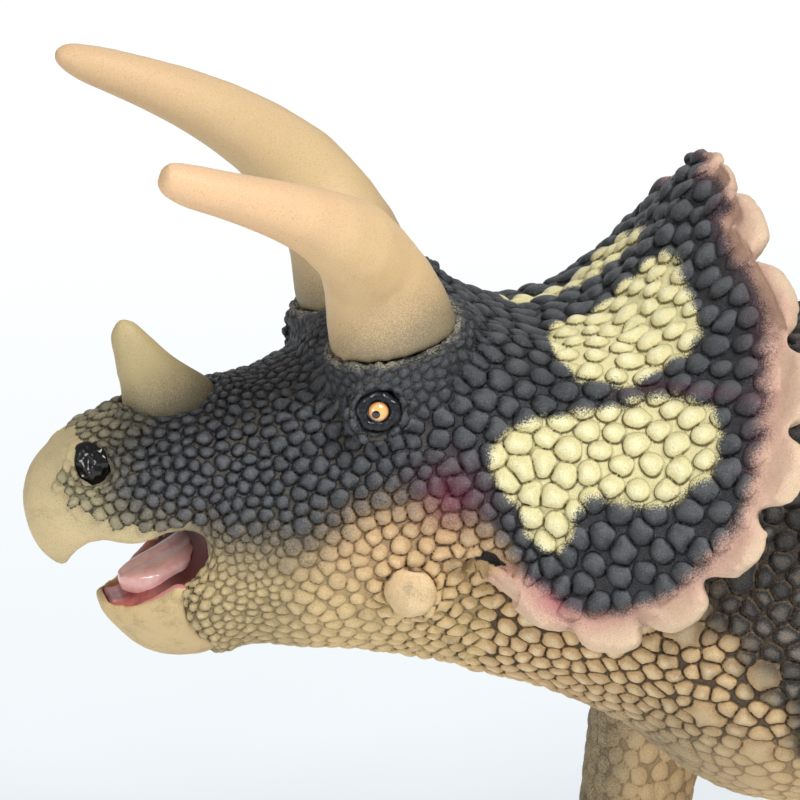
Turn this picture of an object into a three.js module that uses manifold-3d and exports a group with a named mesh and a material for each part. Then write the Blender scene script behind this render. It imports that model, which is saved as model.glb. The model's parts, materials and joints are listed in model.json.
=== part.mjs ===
// A moulded toy figure of a horned dinosaur in a walking pose, about 300 mm long.
// It is an assembly of separately cast vinyl pieces that plug into each other and are glued:
// head with its frill, lower beak, mouth lining, tongue, three horns, two eyes, body with the neck,
// four legs and the tail. Lengths are in millimetres, +Z is up, the beak points along -X, the
// figure's left side faces -Y, and the soles stand on z = 0.
import * as THREE from "three";
import Module from "manifold-3d";
import { mergeVertices } from "three/addons/utils/BufferGeometryUtils.js";

const wasm = await Module();
wasm.setup();

// Driving sizes of the whole figure
const clearance = 0.3; // gap between two castings that plug together
const overrun = 2; // how far a cutting shape runs past what it cuts
const skullLength = 56; // beak front to the neck seam
const headHeight = 44; // chin line to the roof of the skull
const headWidth = 39.2; // across the cheeks
const chinHeight = 58; // the chin line above the ground
const bodyLength = 172; // neck seam to the rump, where the tail plugs in
const bodyHeight = 68; // belly line to the highest point of the back
const bodyWidth = 76; // across the ribs
const bellyHeight = 36; // the belly line above the ground

// Brow horns
const browHornRadius = 8.1;
const browHornReach = 35.2; // base to tip, towards the beak
const browHornRise = 28.4; // base to tip, upwards
const browHornSpread = 19.4; // base to tip, outwards
const leftHornShorter = 3.8; // the left horn ends this much earlier than the right one
const browHornBackShare = 0.8036; // beak front to the centre of the base, over the length of the skull
const browHornOutShare = 0.541; // middle plane to the centre of the base, over half the head's width
const browHornUpShare = 0.9364; // chin line to the centre of the base, over the height of the head
const browPegRadius = 4.5;
const browPegDepth = 4.4;
const collarWidth = 1.3; // mound of skin round the base of a horn
const collarHeight = 0.7;
const collarRoot = 4.2; // how deep the mound reaches into the skull
const browLength = 22; // the swelling of the skull under both horns
const browWidth = 39;
const browThick = 13;
const browUpShare = 0.8136; // chin line to its middle, over the height of the head

// Nose horn
const noseHornHeight = 10.6;
const noseHornLength = 12.4; // along its foot
const noseHornWidth = 9.4;
const noseHornBackShare = 0.332; // beak front to the middle of its foot, over the length of the skull
const noseHornSeatShare = 0.728; // chin line to its foot, over the height of the head
const nosePegRadius = 2.2;
const nosePegDepth = 4;

// Frill
const frillReachShare = 1.625; // beak front to the rim at the middle plane, over the length of the skull
const frillHalfSpan = 43.5; // middle plane to the widest point of the rim
const frillHeightShare = 1.1364; // lowest lobe to the top of the rim, over the height of the head
const frillLowShare = 0.1568; // chin line to the lowest lobe, over the height of the head
const frillRootThick = 4.2;
const frillRimThick = 2.6;
const frillLobes = 9; // rim lobes on each side
const lobeDepth = 3;
const frillRidge = 1.5; // the bar that stands up along the middle of the frill
const frillRidgeShare = 0.075; // its half width, over half the rim

// Eyes, nostrils and cheek knobs
const eyeRadius = 2.3;
const eyeBackShare = 0.734; // beak front to the eye, over the length of the skull
const eyeUpShare = 0.786; // chin line to the eye, over the height of the head
const eyeOutShare = 0.908; // middle plane to the centre of the eyeball, over half the head's width
const lidRadius = 2.9;
const lidThick = 0.85;
const eyeStemRadius = 1.2;
const eyeStemDepth = 2.4;
const nostrilRadius = 2.1;
const nostrilDepth = 2.2;
const nostrilBackShare = 0.1375; // over the length of the skull
const nostrilUpShare = 0.6045; // over the height of the head
const cheekKnobRadius = 3.5;
const cheekKnobBackShare = 0.814; // over the length of the skull
const cheekKnobUpShare = 0.2455; // over the height of the head
const cheekKnobOutShare = 0.8776; // over half the head's width

// Mouth
const liningThick = 1.6;
const liningShare = 0.8; // width of the lining over the width of the jaw
const tongueThick = 3;
const tongueWidth = 11;
const tongueBackShare = 0.386; // beak front to the root of the tongue, over the length of the skull
const tongueReachShare = 0.175; // root to tip, over the length of the skull
const tongueUpShare = 0.296; // chin line to the root of the tongue, over the height of the head
const tongueDropShare = 0.077; // how much lower the tip lies than the root, over the height of the head
const jawTenonLength = 5;
const jawTenonWidth = 9;
const jawTenonHeight = 3.4;
const jawTenonUpShare = 0.1; // chin line to the middle of the tenon, over the height of the head
const jawSeamBackShare = 0.35; // beak front to the seam where the tenon stands, over the length of the skull

// Plugs
const neckPlugLength = 8;
const neckPlugWidth = 24;
const neckPlugHeight = 24;
const neckPlugUpShare = 0.41; // chin line to the middle of the plug, over the height of the head
const tailPlugLength = 9;
const tailPlugShare = 0.72; // plug size over the size of the tail's root

// Tail
const tailLength = 72; // rump to tip
const tailRootHalfWidth = 15.2;
const tailRootHalfHeight = 12.4;
const tailRootUp = 34.4; // belly line to the middle of the root
const tailDrop = 15; // how much lower the tip lies than the root
const tailSwing = 9; // sideways, towards the figure's right

// Legs
const foreLegHeight = 72;
const foreLegLength = 20.6; // across the sole, along the figure
const foreLegWidth = 19.2;
const shoulderBack = 102; // beak front to the shoulder
const foreTrack = 22.5; // middle plane to the sole's centre
const shoulderOut = 4; // how much further out the shoulder lies
const foreStrideAhead = 18; // shoulder to the sole of the leg that steps forward
const foreStrideBehind = 11;
const hindLegHeight = 80;
const hindLegLength = 21.6;
const hindLegWidth = 20;
const hipBack = 190;
const hindTrack = 21;
const hipOut = 3;
const hindStrideAhead = 15;
const hindStrideBehind = 10;
const kneeForward = 6; // how far the knee bulges ahead of the line from hip to sole
const toeRadius = 3.4;
const toeCount = 3;
const toeSpreadShare = 0.26; // angle between two toes over half a turn

// Shares of the sizes above, chosen by hand
// each row: along the skull, then top, widest and bottom height, half width, squareness of the top
const skullShares = [
  [0.008, 0.49, 0.466, 0.432, 0.07, 2],
  [0.021, 0.55, 0.466, 0.36, 0.16, 2],
  [0.046, 0.595, 0.477, 0.305, 0.25, 2],
  [0.079, 0.63, 0.489, 0.27, 0.325, 2],
  [0.116, 0.665, 0.5, 0.258, 0.38, 2.1],
  [0.164, 0.7, 0.5, 0.248, 0.43, 2.1],
  [0.171, 0.705, 0.495, 0.16, 0.435, 2.1],
  [0.189, 0.716, 0.489, 0.105, 0.45, 2.1],
  [0.225, 0.732, 0.477, 0.045, 0.48, 2.1],
  [0.268, 0.74, 0.466, 0.002, 0.52, 2.1],
  [0.321, 0.74, 0.455, -0.02, 0.565, 2.1],
  [0.393, 0.745, 0.443, -0.02, 0.625, 2.1],
  [0.464, 0.762, 0.432, 0.01, 0.685, 2.1],
  [0.536, 0.786, 0.432, 0.01, 0.755, 2.2],
  [0.625, 0.825, 0.443, -0.008, 0.85, 2.4],
  [0.714, 0.888, 0.466, -0.02, 0.935, 2.8],
  [0.804, 0.945, 0.477, -0.035, 0.985, 3],
  [0.893, 0.965, 0.489, -0.06, 1, 2.6],
  [1, 0.94, 0.489, -0.11, 0.97, 2.2],
];
// each row: along the body, then top, widest and bottom height, half width
const bodyShares = [
  [0, 0.76, 0.56, 0.245, 0.5],
  [0.04, 0.745, 0.54, 0.222, 0.555],
  [0.085, 0.75, 0.52, 0.17, 0.63],
  [0.13, 0.765, 0.5, 0.095, 0.705],
  [0.18, 0.79, 0.49, -0.02, 0.78],
  [0.24, 0.825, 0.48, -0.06, 0.85],
  [0.32, 0.88, 0.48, -0.07, 0.92],
  [0.43, 0.945, 0.49, -0.065, 0.975],
  [0.55, 0.99, 0.505, -0.04, 1],
  [0.66, 1, 0.525, -0.01, 0.99],
  [0.77, 0.965, 0.535, 0.045, 0.91],
  [0.86, 0.885, 0.53, 0.135, 0.78],
  [0.94, 0.775, 0.515, 0.235, 0.6],
  [1, 0.675, 0.495, 0.31, 0.43],
];
// each row: forward, up, out and radius
const browHornShares = [
  [0, 0, 0, 1],
  [0.035, 0.18, 0.02, 0.93],
  [0.09, 0.35, 0.13, 0.79],
  [0.19, 0.52, 0.42, 0.7],
  [0.34, 0.66, 0.68, 0.58],
  [0.51, 0.77, 0.83, 0.48],
  [0.69, 0.86, 0.92, 0.39],
  [0.86, 0.935, 0.97, 0.31],
  [0.95, 0.975, 0.99, 0.235],
  [0.985, 0.99, 1, 0.1],
];
// each row: height, front edge and back edge from the middle of the foot, half width
const noseHornShares = [
  [-0.16, -0.47, 0.55, 1],
  [0.02, -0.45, 0.54, 0.95],
  [0.22, -0.47, 0.43, 0.8],
  [0.42, -0.51, 0.17, 0.62],
  [0.6, -0.53, -0.01, 0.5],
  [0.78, -0.55, -0.16, 0.39],
  [0.9, -0.53, -0.27, 0.28],
  [0.97, -0.49, -0.35, 0.16],
  [1, -0.45, -0.4, 0.06],
];
// the mouth's outline, along the skull and up from the chin line
const mouthShares = [
  [0.089, 0.25],
  [0.1, 0.31],
  [0.125, 0.36],
  [0.171, 0.38],
  [0.227, 0.37],
  [0.266, 0.39],
  [0.296, 0.407],
  [0.345, 0.418],
  [0.379, 0.395],
  [0.389, 0.348],
  [0.377, 0.302],
  [0.357, 0.259],
  [0.327, 0.232],
  [0.286, 0.2],
  [0.229, 0.18],
  [0.193, 0.194],
  [0.168, 0.19],
  [0.143, 0.193],
  [0.089, 0.193],
];
// the lower jaw seen from above: along the skull, then half width over half the width of the head
const jawPlanShares = [
  [0.12, 0.02],
  [0.16, 0.05],
  [0.175, 0.13],
  [0.2, 0.23],
  [0.24, 0.35],
  [0.29, 0.48],
  [0.345, 0.62],
  [0.4, 0.72],
];
const liningFirst = 6; // the lining follows the outline from this point
const liningLast = 15; // to this one
// the seam between the lower beak and the scaly jaw, along the skull and up from the chin line
const jawSeamShares = [
  [0.345, 0.225],
  [0.334, 0.18],
  [0.348, 0.125],
  [0.38, 0.072],
  [0.412, 0.04],
  [0.43, -0.06],
];
// the frill's rim from the middle plane to its lowest root: back, out and up
const frillRimShares = [
  [0.975, 0, 1.02],
  [0.985, 0.16, 1.01],
  [0.995, 0.4, 0.92],
  [0.995, 0.65, 0.79],
  [0.975, 0.87, 0.645],
  [0.943, 0.975, 0.48],
  [0.885, 0.975, 0.305],
  [0.83, 0.89, 0.15],
  [0.765, 0.77, 0.025],
  [0.67, 0.655, 0.035],
  [0.6, 0.55, 0.2],
];
// the frill's root inside the skull, in the same order and of the same sizes
const frillRootShares = [
  [0.57, 0, 0.68],
  [0.57, 0.13, 0.675],
  [0.565, 0.25, 0.675],
  [0.56, 0.33, 0.63],
  [0.555, 0.37, 0.55],
  [0.55, 0.385, 0.46],
  [0.545, 0.385, 0.38],
  [0.54, 0.385, 0.31],
  [0.535, 0.38, 0.255],
  [0.53, 0.375, 0.22],
  [0.53, 0.375, 0.21],
];
const frillSagShare = 0.1; // how far the plate bows back from the straight line from root to rim
const frillDipShare = 0.29; // how far its upper part dips below that line
// each row: height, half length, half width, how much of the stride and of the bulge lies there
const foreLegShares = [
  [0, 0.92, 0.92, 1, 0],
  [0.03, 1, 1, 1, 0],
  [0.09, 0.93, 0.93, 0.99, 0],
  [0.18, 0.79, 0.79, 0.94, 0],
  [0.3, 0.76, 0.77, 0.87, 0],
  [0.44, 0.83, 0.82, 0.77, 0],
  [0.58, 1.02, 0.95, 0.58, 0],
  [0.73, 1.24, 1.06, 0.33, 0],
  [0.88, 1.26, 1.02, 0.12, 0],
  [1, 0.85, 0.72, 0, 0],
];
const hindLegShares = [
  [0, 0.92, 0.92, 1, 0],
  [0.03, 1, 1, 1, 0],
  [0.08, 0.93, 0.93, 0.99, 0.05],
  [0.18, 0.8, 0.8, 0.95, -0.35],
  [0.3, 0.84, 0.83, 0.8, -0.2],
  [0.43, 1.05, 0.95, 0.55, 0.7],
  [0.58, 1.42, 1.06, 0.26, 1],
  [0.74, 1.68, 1.14, 0.06, 0.6],
  [0.88, 1.55, 1.04, 0, 0.15],
  [1, 1, 0.7, 0, 0],
];
// each row: along the tail, then half size, height and sideways swing
const tailShares = [
  [0, 1, 0, 0],
  [0.12, 0.87, 0.1, 0.01],
  [0.28, 0.69, 0.3, 0.05],
  [0.46, 0.5, 0.56, 0.18],
  [0.64, 0.34, 0.79, 0.4],
  [0.8, 0.22, 0.93, 0.66],
  [0.93, 0.12, 0.99, 0.9],
  [1, 0.03, 1, 1],
];

// Facet counts
const ringSides = 28;
const legSides = 18;
const hornSides = 16;
const skullRings = 28;
const bodyRings = 18;
const hornRings = 12;
const legRings = 11;
const ballSides = 14;
const toeSides = 10;
const frillRows = 4;
const stepsPerLobe = 4;

// Colours and finishes
const skinPaint = { color: 0x4a4540, roughness: 0.62, metalness: 0 };
const bellyPaint = { color: 0xb89a6c, roughness: 0.6, metalness: 0 };
const hornPaint = { color: 0xd9b483, roughness: 0.5, metalness: 0 };
const mouthPaint = { color: 0xc0606a, roughness: 0.2, metalness: 0 };
const eyePaint = { color: 0xe09a4a, roughness: 0.12, metalness: 0 };

// Joins closed rings of points into one closed skin, with a fan over the first and the last ring.
function loft(rings) {
  const sides = rings[0].length;
  const points = rings.flat();
  const index = [];
  for (let i = 0; i + 1 < rings.length; i++) {
    for (let k = 0; k < sides; k++) {
      const a = i * sides + k;
      const b = i * sides + ((k + 1) % sides);
      index.push(a, b, b + sides, a, b + sides, a + sides);
    }
  }
  const last = (rings.length - 1) * sides;
  const middle = (ring) => ring.reduce((sum, p) => sum.add(p), new THREE.Vector3()).divideScalar(sides);
  points.push(middle(rings[0]), middle(rings[rings.length - 1]));
  for (let k = 0; k < sides; k++) {
    const next = (k + 1) % sides;
    index.push(points.length - 2, next, k);
    index.push(points.length - 1, last + k, last + next);
  }
  const geometry = new THREE.BufferGeometry().setFromPoints(points);
  geometry.setIndex(index);
  return geometry;
}

// The solid of a closed geometry. A skin that faces inwards is turned round.
function solid(geometry) {
  const bare = geometry.clone();
  bare.deleteAttribute("normal");
  bare.deleteAttribute("uv");
  const merged = mergeVertices(bare, 1e-4);
  const vertProperties = new Float32Array(merged.attributes.position.array);
  const triVerts = new Uint32Array(merged.index.array);
  const made = new wasm.Manifold(new wasm.Mesh({ numProp: 3, vertProperties, triVerts }));
  if (made.volume() >= 0) return made;
  for (let i = 0; i < triVerts.length; i += 3) {
    [triVerts[i + 1], triVerts[i + 2]] = [triVerts[i + 2], triVerts[i + 1]];
  }
  return new wasm.Manifold(new wasm.Mesh({ numProp: 3, vertProperties, triVerts }));
}

function geometryOf(body) {
  const mesh = body.getMesh();
  const flat = new Float32Array(mesh.numVert * 3);
  for (let i = 0; i < mesh.numVert; i++) {
    const from = i * mesh.numProp;
    flat.set(mesh.vertProperties.subarray(from, from + 3), i * 3);
  }
  const geometry = new THREE.BufferGeometry();
  geometry.setAttribute("position", new THREE.BufferAttribute(flat, 3));
  geometry.setIndex(new THREE.BufferAttribute(new Uint32Array(mesh.triVerts), 1));
  geometry.computeVertexNormals();
  return geometry;
}

// Reads a table of rows at any place between its first and last row, on a smooth curve.
function smoothRow(rows, t) {
  const x = t * (rows.length - 1);
  const i = Math.min(Math.floor(x), rows.length - 2);
  const f = x - i;
  const row = (k) => rows[Math.min(Math.max(k, 0), rows.length - 1)];
  return rows[0].map((_, c) => {
    const [p0, p1, p2, p3] = [row(i - 1)[c], row(i)[c], row(i + 1)[c], row(i + 2)[c]];
    const m1 = (p2 - p0) / 2;
    const m2 = (p3 - p1) / 2;
    const f2 = f * f;
    const f3 = f2 * f;
    return p1 * (2 * f3 - 3 * f2 + 1) + m1 * (f3 - 2 * f2 + f) + p2 * (3 * f2 - 2 * f3) + m2 * (f3 - f2);
  });
}

// An upright section across the figure: an oval with its own top, bottom and squareness.
function section(x, top, wide, bottom, halfWidth, power, sides) {
  const ring = [];
  for (let k = 0; k < sides; k++) {
    const angle = (2 * Math.PI * k) / sides;
    const c = Math.cos(angle);
    const s = Math.sin(angle);
    const p = s > 0 ? power : 2.2;
    const y = halfWidth * Math.sign(c) * Math.abs(c) ** (2 / p);
    const up = (s > 0 ? top - wide : wide - bottom) * Math.sign(s) * Math.abs(s) ** (2 / p);
    ring.push(new THREE.Vector3(x, y, wide + up));
  }
  return ring;
}

// A level oval section, for legs and the nose horn.
function levelOval(cx, cy, z, halfLength, halfWidth, sides) {
  const ring = [];
  for (let k = 0; k < sides; k++) {
    const angle = (2 * Math.PI * k) / sides;
    ring.push(new THREE.Vector3(cx + halfLength * Math.cos(angle), cy + halfWidth * Math.sin(angle), z));
  }
  return ring;
}

// A round bar between two points.
function peg(from, to, radius, sides) {
  const length = from.distanceTo(to);
  const geometry = new THREE.CylinderGeometry(radius, radius, length, sides);
  const along = new THREE.Vector3().subVectors(to, from).normalize();
  geometry.applyQuaternion(new THREE.Quaternion().setFromUnitVectors(new THREE.Vector3(0, 1, 0), along));
  geometry.translate(...new THREE.Vector3().addVectors(from, to).divideScalar(2));
  return solid(geometry);
}

// A flat outline in the middle plane, drawn in x and z, made solid across the figure.
function acrossFigure(outline, halfDepth) {
  const shape = new THREE.Shape(outline);
  const geometry = new THREE.ExtrudeGeometry(shape, { depth: 2 * halfDepth, bevelEnabled: false });
  geometry.translate(0, 0, -halfDepth);
  geometry.rotateX(Math.PI / 2);
  return solid(geometry);
}

const halfHead = headWidth / 2;
const frillReach = frillReachShare * skullLength;
const frillHeight = frillHeightShare * headHeight;
const frillLow = chinHeight + frillLowShare * headHeight;
const browHornBack = browHornBackShare * skullLength;
const browHornOut = browHornOutShare * halfHead;
const browHornUp = browHornUpShare * headHeight;
const browUp = browUpShare * headHeight;
const noseHornBack = noseHornBackShare * skullLength;
const noseHornSeat = noseHornSeatShare * headHeight;
const eyeBack = eyeBackShare * skullLength;
const eyeUp = eyeUpShare * headHeight;
const eyeOut = eyeOutShare * halfHead;
const nostrilBack = nostrilBackShare * skullLength;
const nostrilUp = nostrilUpShare * headHeight;
const cheekKnobBack = cheekKnobBackShare * skullLength;
const cheekKnobUp = cheekKnobUpShare * headHeight;
const cheekKnobOut = cheekKnobOutShare * halfHead;
const tongueBack = tongueBackShare * skullLength;
const tongueReach = tongueReachShare * skullLength;
const tongueUp = tongueUpShare * headHeight;
const tongueDrop = tongueDropShare * headHeight;
const jawTenonUp = jawTenonUpShare * headHeight;
const jawSeamBack = jawSeamBackShare * skullLength;
const neckPlugUp = neckPlugUpShare * headHeight;

const headAt = ([along, up]) => new THREE.Vector2(along * skullLength, chinHeight + up * headHeight);

function mirrored(body) {
  const flipped = geometryOf(body);
  flipped.scale(1, -1, 1);
  return solid(flipped);
}

// The skull as one closed form, before the mouth is cut. Its width can be drawn in for the lining.
function skullForm(widthShare, grow) {
  const rings = [];
  for (let i = 0; i <= skullRings; i++) {
    const [along, top, wide, bottom, half, power] = smoothRow(skullShares, i / skullRings);
    rings.push(
      section(
        along * skullLength,
        chinHeight + top * headHeight,
        chinHeight + wide * headHeight,
        chinHeight + bottom * headHeight,
        ((half * headWidth) / 2) * widthShare + grow,
        power,
        ringSides,
      ),
    );
  }
  return solid(loft(rings));
}

const browHornBase = new THREE.Vector3(browHornBack, browHornOut, chinHeight + browHornUp);

function browHornPoint([forward, up, out]) {
  return new THREE.Vector3(-forward * browHornReach, out * browHornSpread, up * browHornRise).add(browHornBase);
}

const browHornAxis = new THREE.Vector3().subVectors(browHornPoint(browHornShares[1]), browHornBase).normalize();

// A brow horn, drawn on the figure's right, with the peg that seats it in the skull.
function browHorn(grow, shorter) {
  const rings = [];
  for (let i = 0; i <= hornRings; i++) {
    const t = i / hornRings;
    const row = smoothRow(browHornShares, t);
    const step = 0.5 / hornRings;
    const ahead = browHornPoint(smoothRow(browHornShares, Math.min(t + step, 1)));
    const behind = browHornPoint(smoothRow(browHornShares, Math.max(t - step, 0)));
    const along = new THREE.Vector3().subVectors(ahead, behind).normalize();
    const side = new THREE.Vector3(0, 1, 0).cross(along).normalize();
    const over = new THREE.Vector3().crossVectors(along, side);
    const radius = row[3] * browHornRadius + grow;
    const centre = browHornPoint(row);
    centre.x += shorter * t ** 6;
    if (i === 0) centre.addScaledVector(along, -grow);
    const ring = [];
    for (let k = 0; k < hornSides; k++) {
      const angle = (2 * Math.PI * k) / hornSides;
      ring.push(
        centre
          .clone()
          .addScaledVector(side, radius * Math.cos(angle))
          .addScaledVector(over, radius * Math.sin(angle)),
      );
    }
    rings.push(ring);
  }
  const root = browHornBase.clone().addScaledVector(browHornAxis, -browPegDepth - grow);
  const inside = browHornBase.clone().addScaledVector(browHornAxis, browHornRadius / 2);
  return solid(loft(rings)).add(peg(root, inside, browPegRadius + grow, hornSides));
}

// The raised ring of skin that the brow horn stands in.
function hornCollar() {
  const outer = browHornRadius + collarWidth;
  const profile = [
    new THREE.Vector2(0, -collarRoot),
    new THREE.Vector2(outer, -collarRoot),
    new THREE.Vector2(outer, -collarHeight),
    new THREE.Vector2(outer - collarWidth / 4, collarHeight / 2),
    new THREE.Vector2(browHornRadius + collarWidth / 4, collarHeight),
    new THREE.Vector2(0, collarHeight),
  ];
  const geometry = new THREE.LatheGeometry(profile, hornSides);
  geometry.applyQuaternion(new THREE.Quaternion().setFromUnitVectors(new THREE.Vector3(0, 1, 0), browHornAxis));
  geometry.translate(...browHornBase);
  return solid(geometry);
}

// The swelling of the skull that carries both horns and roofs the eyes.
function brow() {
  const swelling = new THREE.SphereGeometry(1 / 2, hornSides, hornSides / 2);
  swelling.scale(browLength, browWidth, browThick);
  swelling.translate(browHornBack + collarWidth, 0, chinHeight + browUp);
  return solid(swelling);
}

// The short horn on the snout, drawn forward, with its peg.
function noseHorn(grow) {
  const foot = chinHeight + noseHornSeat;
  const rings = [];
  for (let i = 0; i <= hornRings; i++) {
    const [up, front, back, half] = smoothRow(noseHornShares, i / hornRings);
    const lower = i === 0 ? grow : 0;
    rings.push(
      levelOval(
        noseHornBack + ((front + back) / 2) * noseHornLength,
        0,
        foot + up * noseHornHeight - lower,
        ((back - front) / 2) * noseHornLength + grow,
        (half * noseHornWidth) / 2 + grow,
        hornSides,
      ),
    );
  }
  const root = new THREE.Vector3(noseHornBack, 0, foot + noseHornShares[0][0] * noseHornHeight - nosePegDepth - grow);
  const inside = new THREE.Vector3(noseHornBack, 0, foot);
  return solid(loft(rings)).add(peg(root, inside, nosePegRadius + grow, hornSides));
}

// One point of the frill plate: t runs along the rim from the middle plane (0) to the low root (1),
// s from the root (0) to the rim (1).
function frillPoint(t, s, reachExtra) {
  const place = ([back, out, up]) =>
    new THREE.Vector3(back * frillReach, out * frillHalfSpan, frillLow + up * frillHeight);
  const root = place(smoothRow(frillRootShares, Math.abs(t)));
  const rim = place(smoothRow(frillRimShares, Math.abs(t)));
  const outward = new THREE.Vector3().subVectors(rim, root);
  const span = outward.length();
  outward.normalize();
  const lobe = Math.abs(Math.sin(Math.PI * Math.abs(t) * frillLobes)) ** 0.55;
  const reach = span + lobeDepth * (lobe - 0.6) * s * s + reachExtra * s;
  const point = root.clone().addScaledVector(outward, reach * s);
  const bow = 4 * s * (1 - s) * span;
  const dip = 5 * s * (1 - s) ** 1.3 * span;
  point.x += bow * frillSagShare;
  point.z -= dip * frillDipShare * Math.max(1 - 1.6 * Math.abs(t), 0);
  if (t < 0) point.y = -point.y;
  return point;
}

// The frill as one plate, thick at its root, with rounded lobes round its rim.
function frill(grow) {
  const columns = 2 * frillLobes * stepsPerLobe;
  const front = [];
  const back = [];
  for (let i = 0; i <= columns; i++) {
    const t = (2 * i) / columns - 1;
    const frontRow = [];
    const backRow = [];
    for (let j = 0; j <= frillRows; j++) {
      const s = j / frillRows;
      const here = frillPoint(t, s, grow);
      const du = frillPoint(Math.min(t + 0.02, 1), s, grow).sub(frillPoint(Math.max(t - 0.02, -1), s, grow));
      const dv = frillPoint(t, Math.min(s + 0.05, 1), grow).sub(frillPoint(t, Math.max(s - 0.05, 0), grow));
      const normal = new THREE.Vector3().crossVectors(dv, du).normalize();
      const thick = frillRootThick + (frillRimThick - frillRootThick) * s;
      const edge = j === frillRows ? 0.55 : 1;
      const ridge = frillRidge * Math.exp(-((t / frillRidgeShare) ** 2)) * (1 - s ** 4);
      frontRow.push(here.clone().addScaledVector(normal, (thick / 2) * edge + ridge + grow));
      backRow.push(here.clone().addScaledVector(normal, (-thick / 2) * edge - grow));
    }
    front.push(frontRow);
    back.push(backRow);
  }
  const rings = front.map((row, i) => [...row, ...back[i].reverse()]);
  return solid(loft(rings));
}

// Eyeball with the stem that holds it in the skull, on the figure's right.
function eye(grow) {
  const centre = new THREE.Vector3(eyeBack, eyeOut, chinHeight + eyeUp);
  const ball = new THREE.SphereGeometry(eyeRadius + grow, ballSides, ballSides / 2);
  ball.translate(...centre);
  const root = centre.clone().add(new THREE.Vector3(0, -eyeRadius - eyeStemDepth - grow, 0));
  return solid(ball).add(peg(root, centre, eyeStemRadius + grow, ballSides / 2));
}

function eyelid() {
  const ring = new THREE.TorusGeometry(lidRadius, lidThick, ballSides / 2, ballSides);
  ring.rotateX(Math.PI / 2);
  ring.translate(eyeBack, eyeOut + eyeRadius / 4, chinHeight + eyeUp);
  return solid(ring);
}

function nostril() {
  const pit = new THREE.SphereGeometry(1, ballSides, ballSides / 2);
  pit.scale(nostrilRadius, nostrilDepth, nostrilRadius);
  const [, , , , half] = smoothRow(skullShares, 4 / (skullShares.length - 1));
  pit.translate(nostrilBack, (half * headWidth) / 2, chinHeight + nostrilUp);
  return solid(pit);
}

function cheekKnob() {
  const knob = new THREE.SphereGeometry(cheekKnobRadius, ballSides, ballSides / 2);
  knob.translate(cheekKnobBack, cheekKnobOut, chinHeight + cheekKnobUp);
  return solid(knob);
}

const mouthOutline = new THREE.SplineCurve(mouthShares.map(headAt)).getPoints(2 * mouthShares.length);

// The lower jaw's outline from above, as a block that reaches through the whole head.
function jawPlan(widthShare, grow) {
  const low = chinHeight - headHeight / 4;
  const side = jawPlanShares.map(([along, half]) => [along * skullLength, half * halfHead * widthShare + grow]);
  const end = [headWidth + skullLength, side[side.length - 1][1]];
  const outline = [...side, end].map(([x, y]) => new THREE.Vector2(x, y));
  for (const [x, y] of [...side, end].reverse()) outline.push(new THREE.Vector2(x, -y));
  const geometry = new THREE.ExtrudeGeometry(new THREE.Shape(outline), { depth: 2 * headHeight, bevelEnabled: false });
  geometry.translate(0, 0, low);
  return solid(geometry);
}

// The pink lining of the jaw's floor and the throat: a band along the mouth's outline, narrower than the jaw.
function mouthLining(grow) {
  const curve = new THREE.SplineCurve(mouthShares.slice(liningFirst, liningLast + 1).map(headAt));
  const steps = 3 * (liningLast - liningFirst);
  const inner = [];
  const outer = [];
  for (let i = 0; i <= steps; i++) {
    const t = i / steps;
    const p = curve.getPoint(t);
    const along = curve.getTangent(t);
    const out = new THREE.Vector2(-along.y, along.x);
    const end = i === 0 ? -grow : i === steps ? grow : 0;
    p.addScaledVector(along, end);
    inner.push(p.clone().addScaledVector(out, -grow));
    outer.push(p.clone().addScaledVector(out, liningThick + grow));
  }
  return acrossFigure([...inner, ...outer.reverse()], headWidth)
    .intersect(skullForm(liningShare, grow))
    .intersect(jawPlan(liningShare, grow));
}

// The tongue: a thick tapering slab that rises towards its root.
function tongue() {
  const rings = [];
  const steps = 10;
  for (let i = 0; i <= steps; i++) {
    const t = i / steps;
    const x = tongueBack - t * tongueReach;
    const z = chinHeight + tongueUp - tongueDrop * (1 - (1 - t) ** 2);
    const taper = Math.sqrt(Math.max(1 - t ** 4, 0.06));
    const half = (tongueThick / 2) * (1.15 - 0.35 * t) * taper;
    rings.push(section(x, z + half, z, z - half, (tongueWidth / 2) * (1 - 0.25 * t) * taper, 2.6, hornSides));
  }
  return solid(loft(rings)).subtract(mouthLining(clearance));
}

// Everything in front of the seam and below the mouth belongs to the lower beak.
function lowerBeakRegion(grow) {
  const seam = new THREE.SplineCurve(jawSeamShares.map(headAt)).getPoints(12);
  const low = chinHeight - headHeight / 4;
  const high = seam[0].y + grow;
  const outline = seam.map((p) => new THREE.Vector2(p.x + grow, p.y));
  outline.unshift(new THREE.Vector2(outline[0].x, high));
  outline.push(new THREE.Vector2(0, low), new THREE.Vector2(0, high));
  return acrossFigure(outline, headWidth);
}

function jawTenon(grow) {
  const geometry = new THREE.BoxGeometry(
    2 * jawTenonLength + grow,
    jawTenonWidth + 2 * grow,
    jawTenonHeight + 2 * grow,
  );
  geometry.translate(jawSeamBack + grow / 2, 0, chinHeight + jawTenonUp);
  return solid(geometry);
}

function neckPlug(grow) {
  const half = neckPlugHeight / 2 + grow;
  const middle = chinHeight + neckPlugUp;
  const ring = (x) => section(x, middle + half, middle, middle - half, neckPlugWidth / 2 + grow, 2.2, legSides);
  return solid(loft([ring(skullLength - neckPlugLength - grow), ring(skullLength + overrun)]));
}

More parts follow.
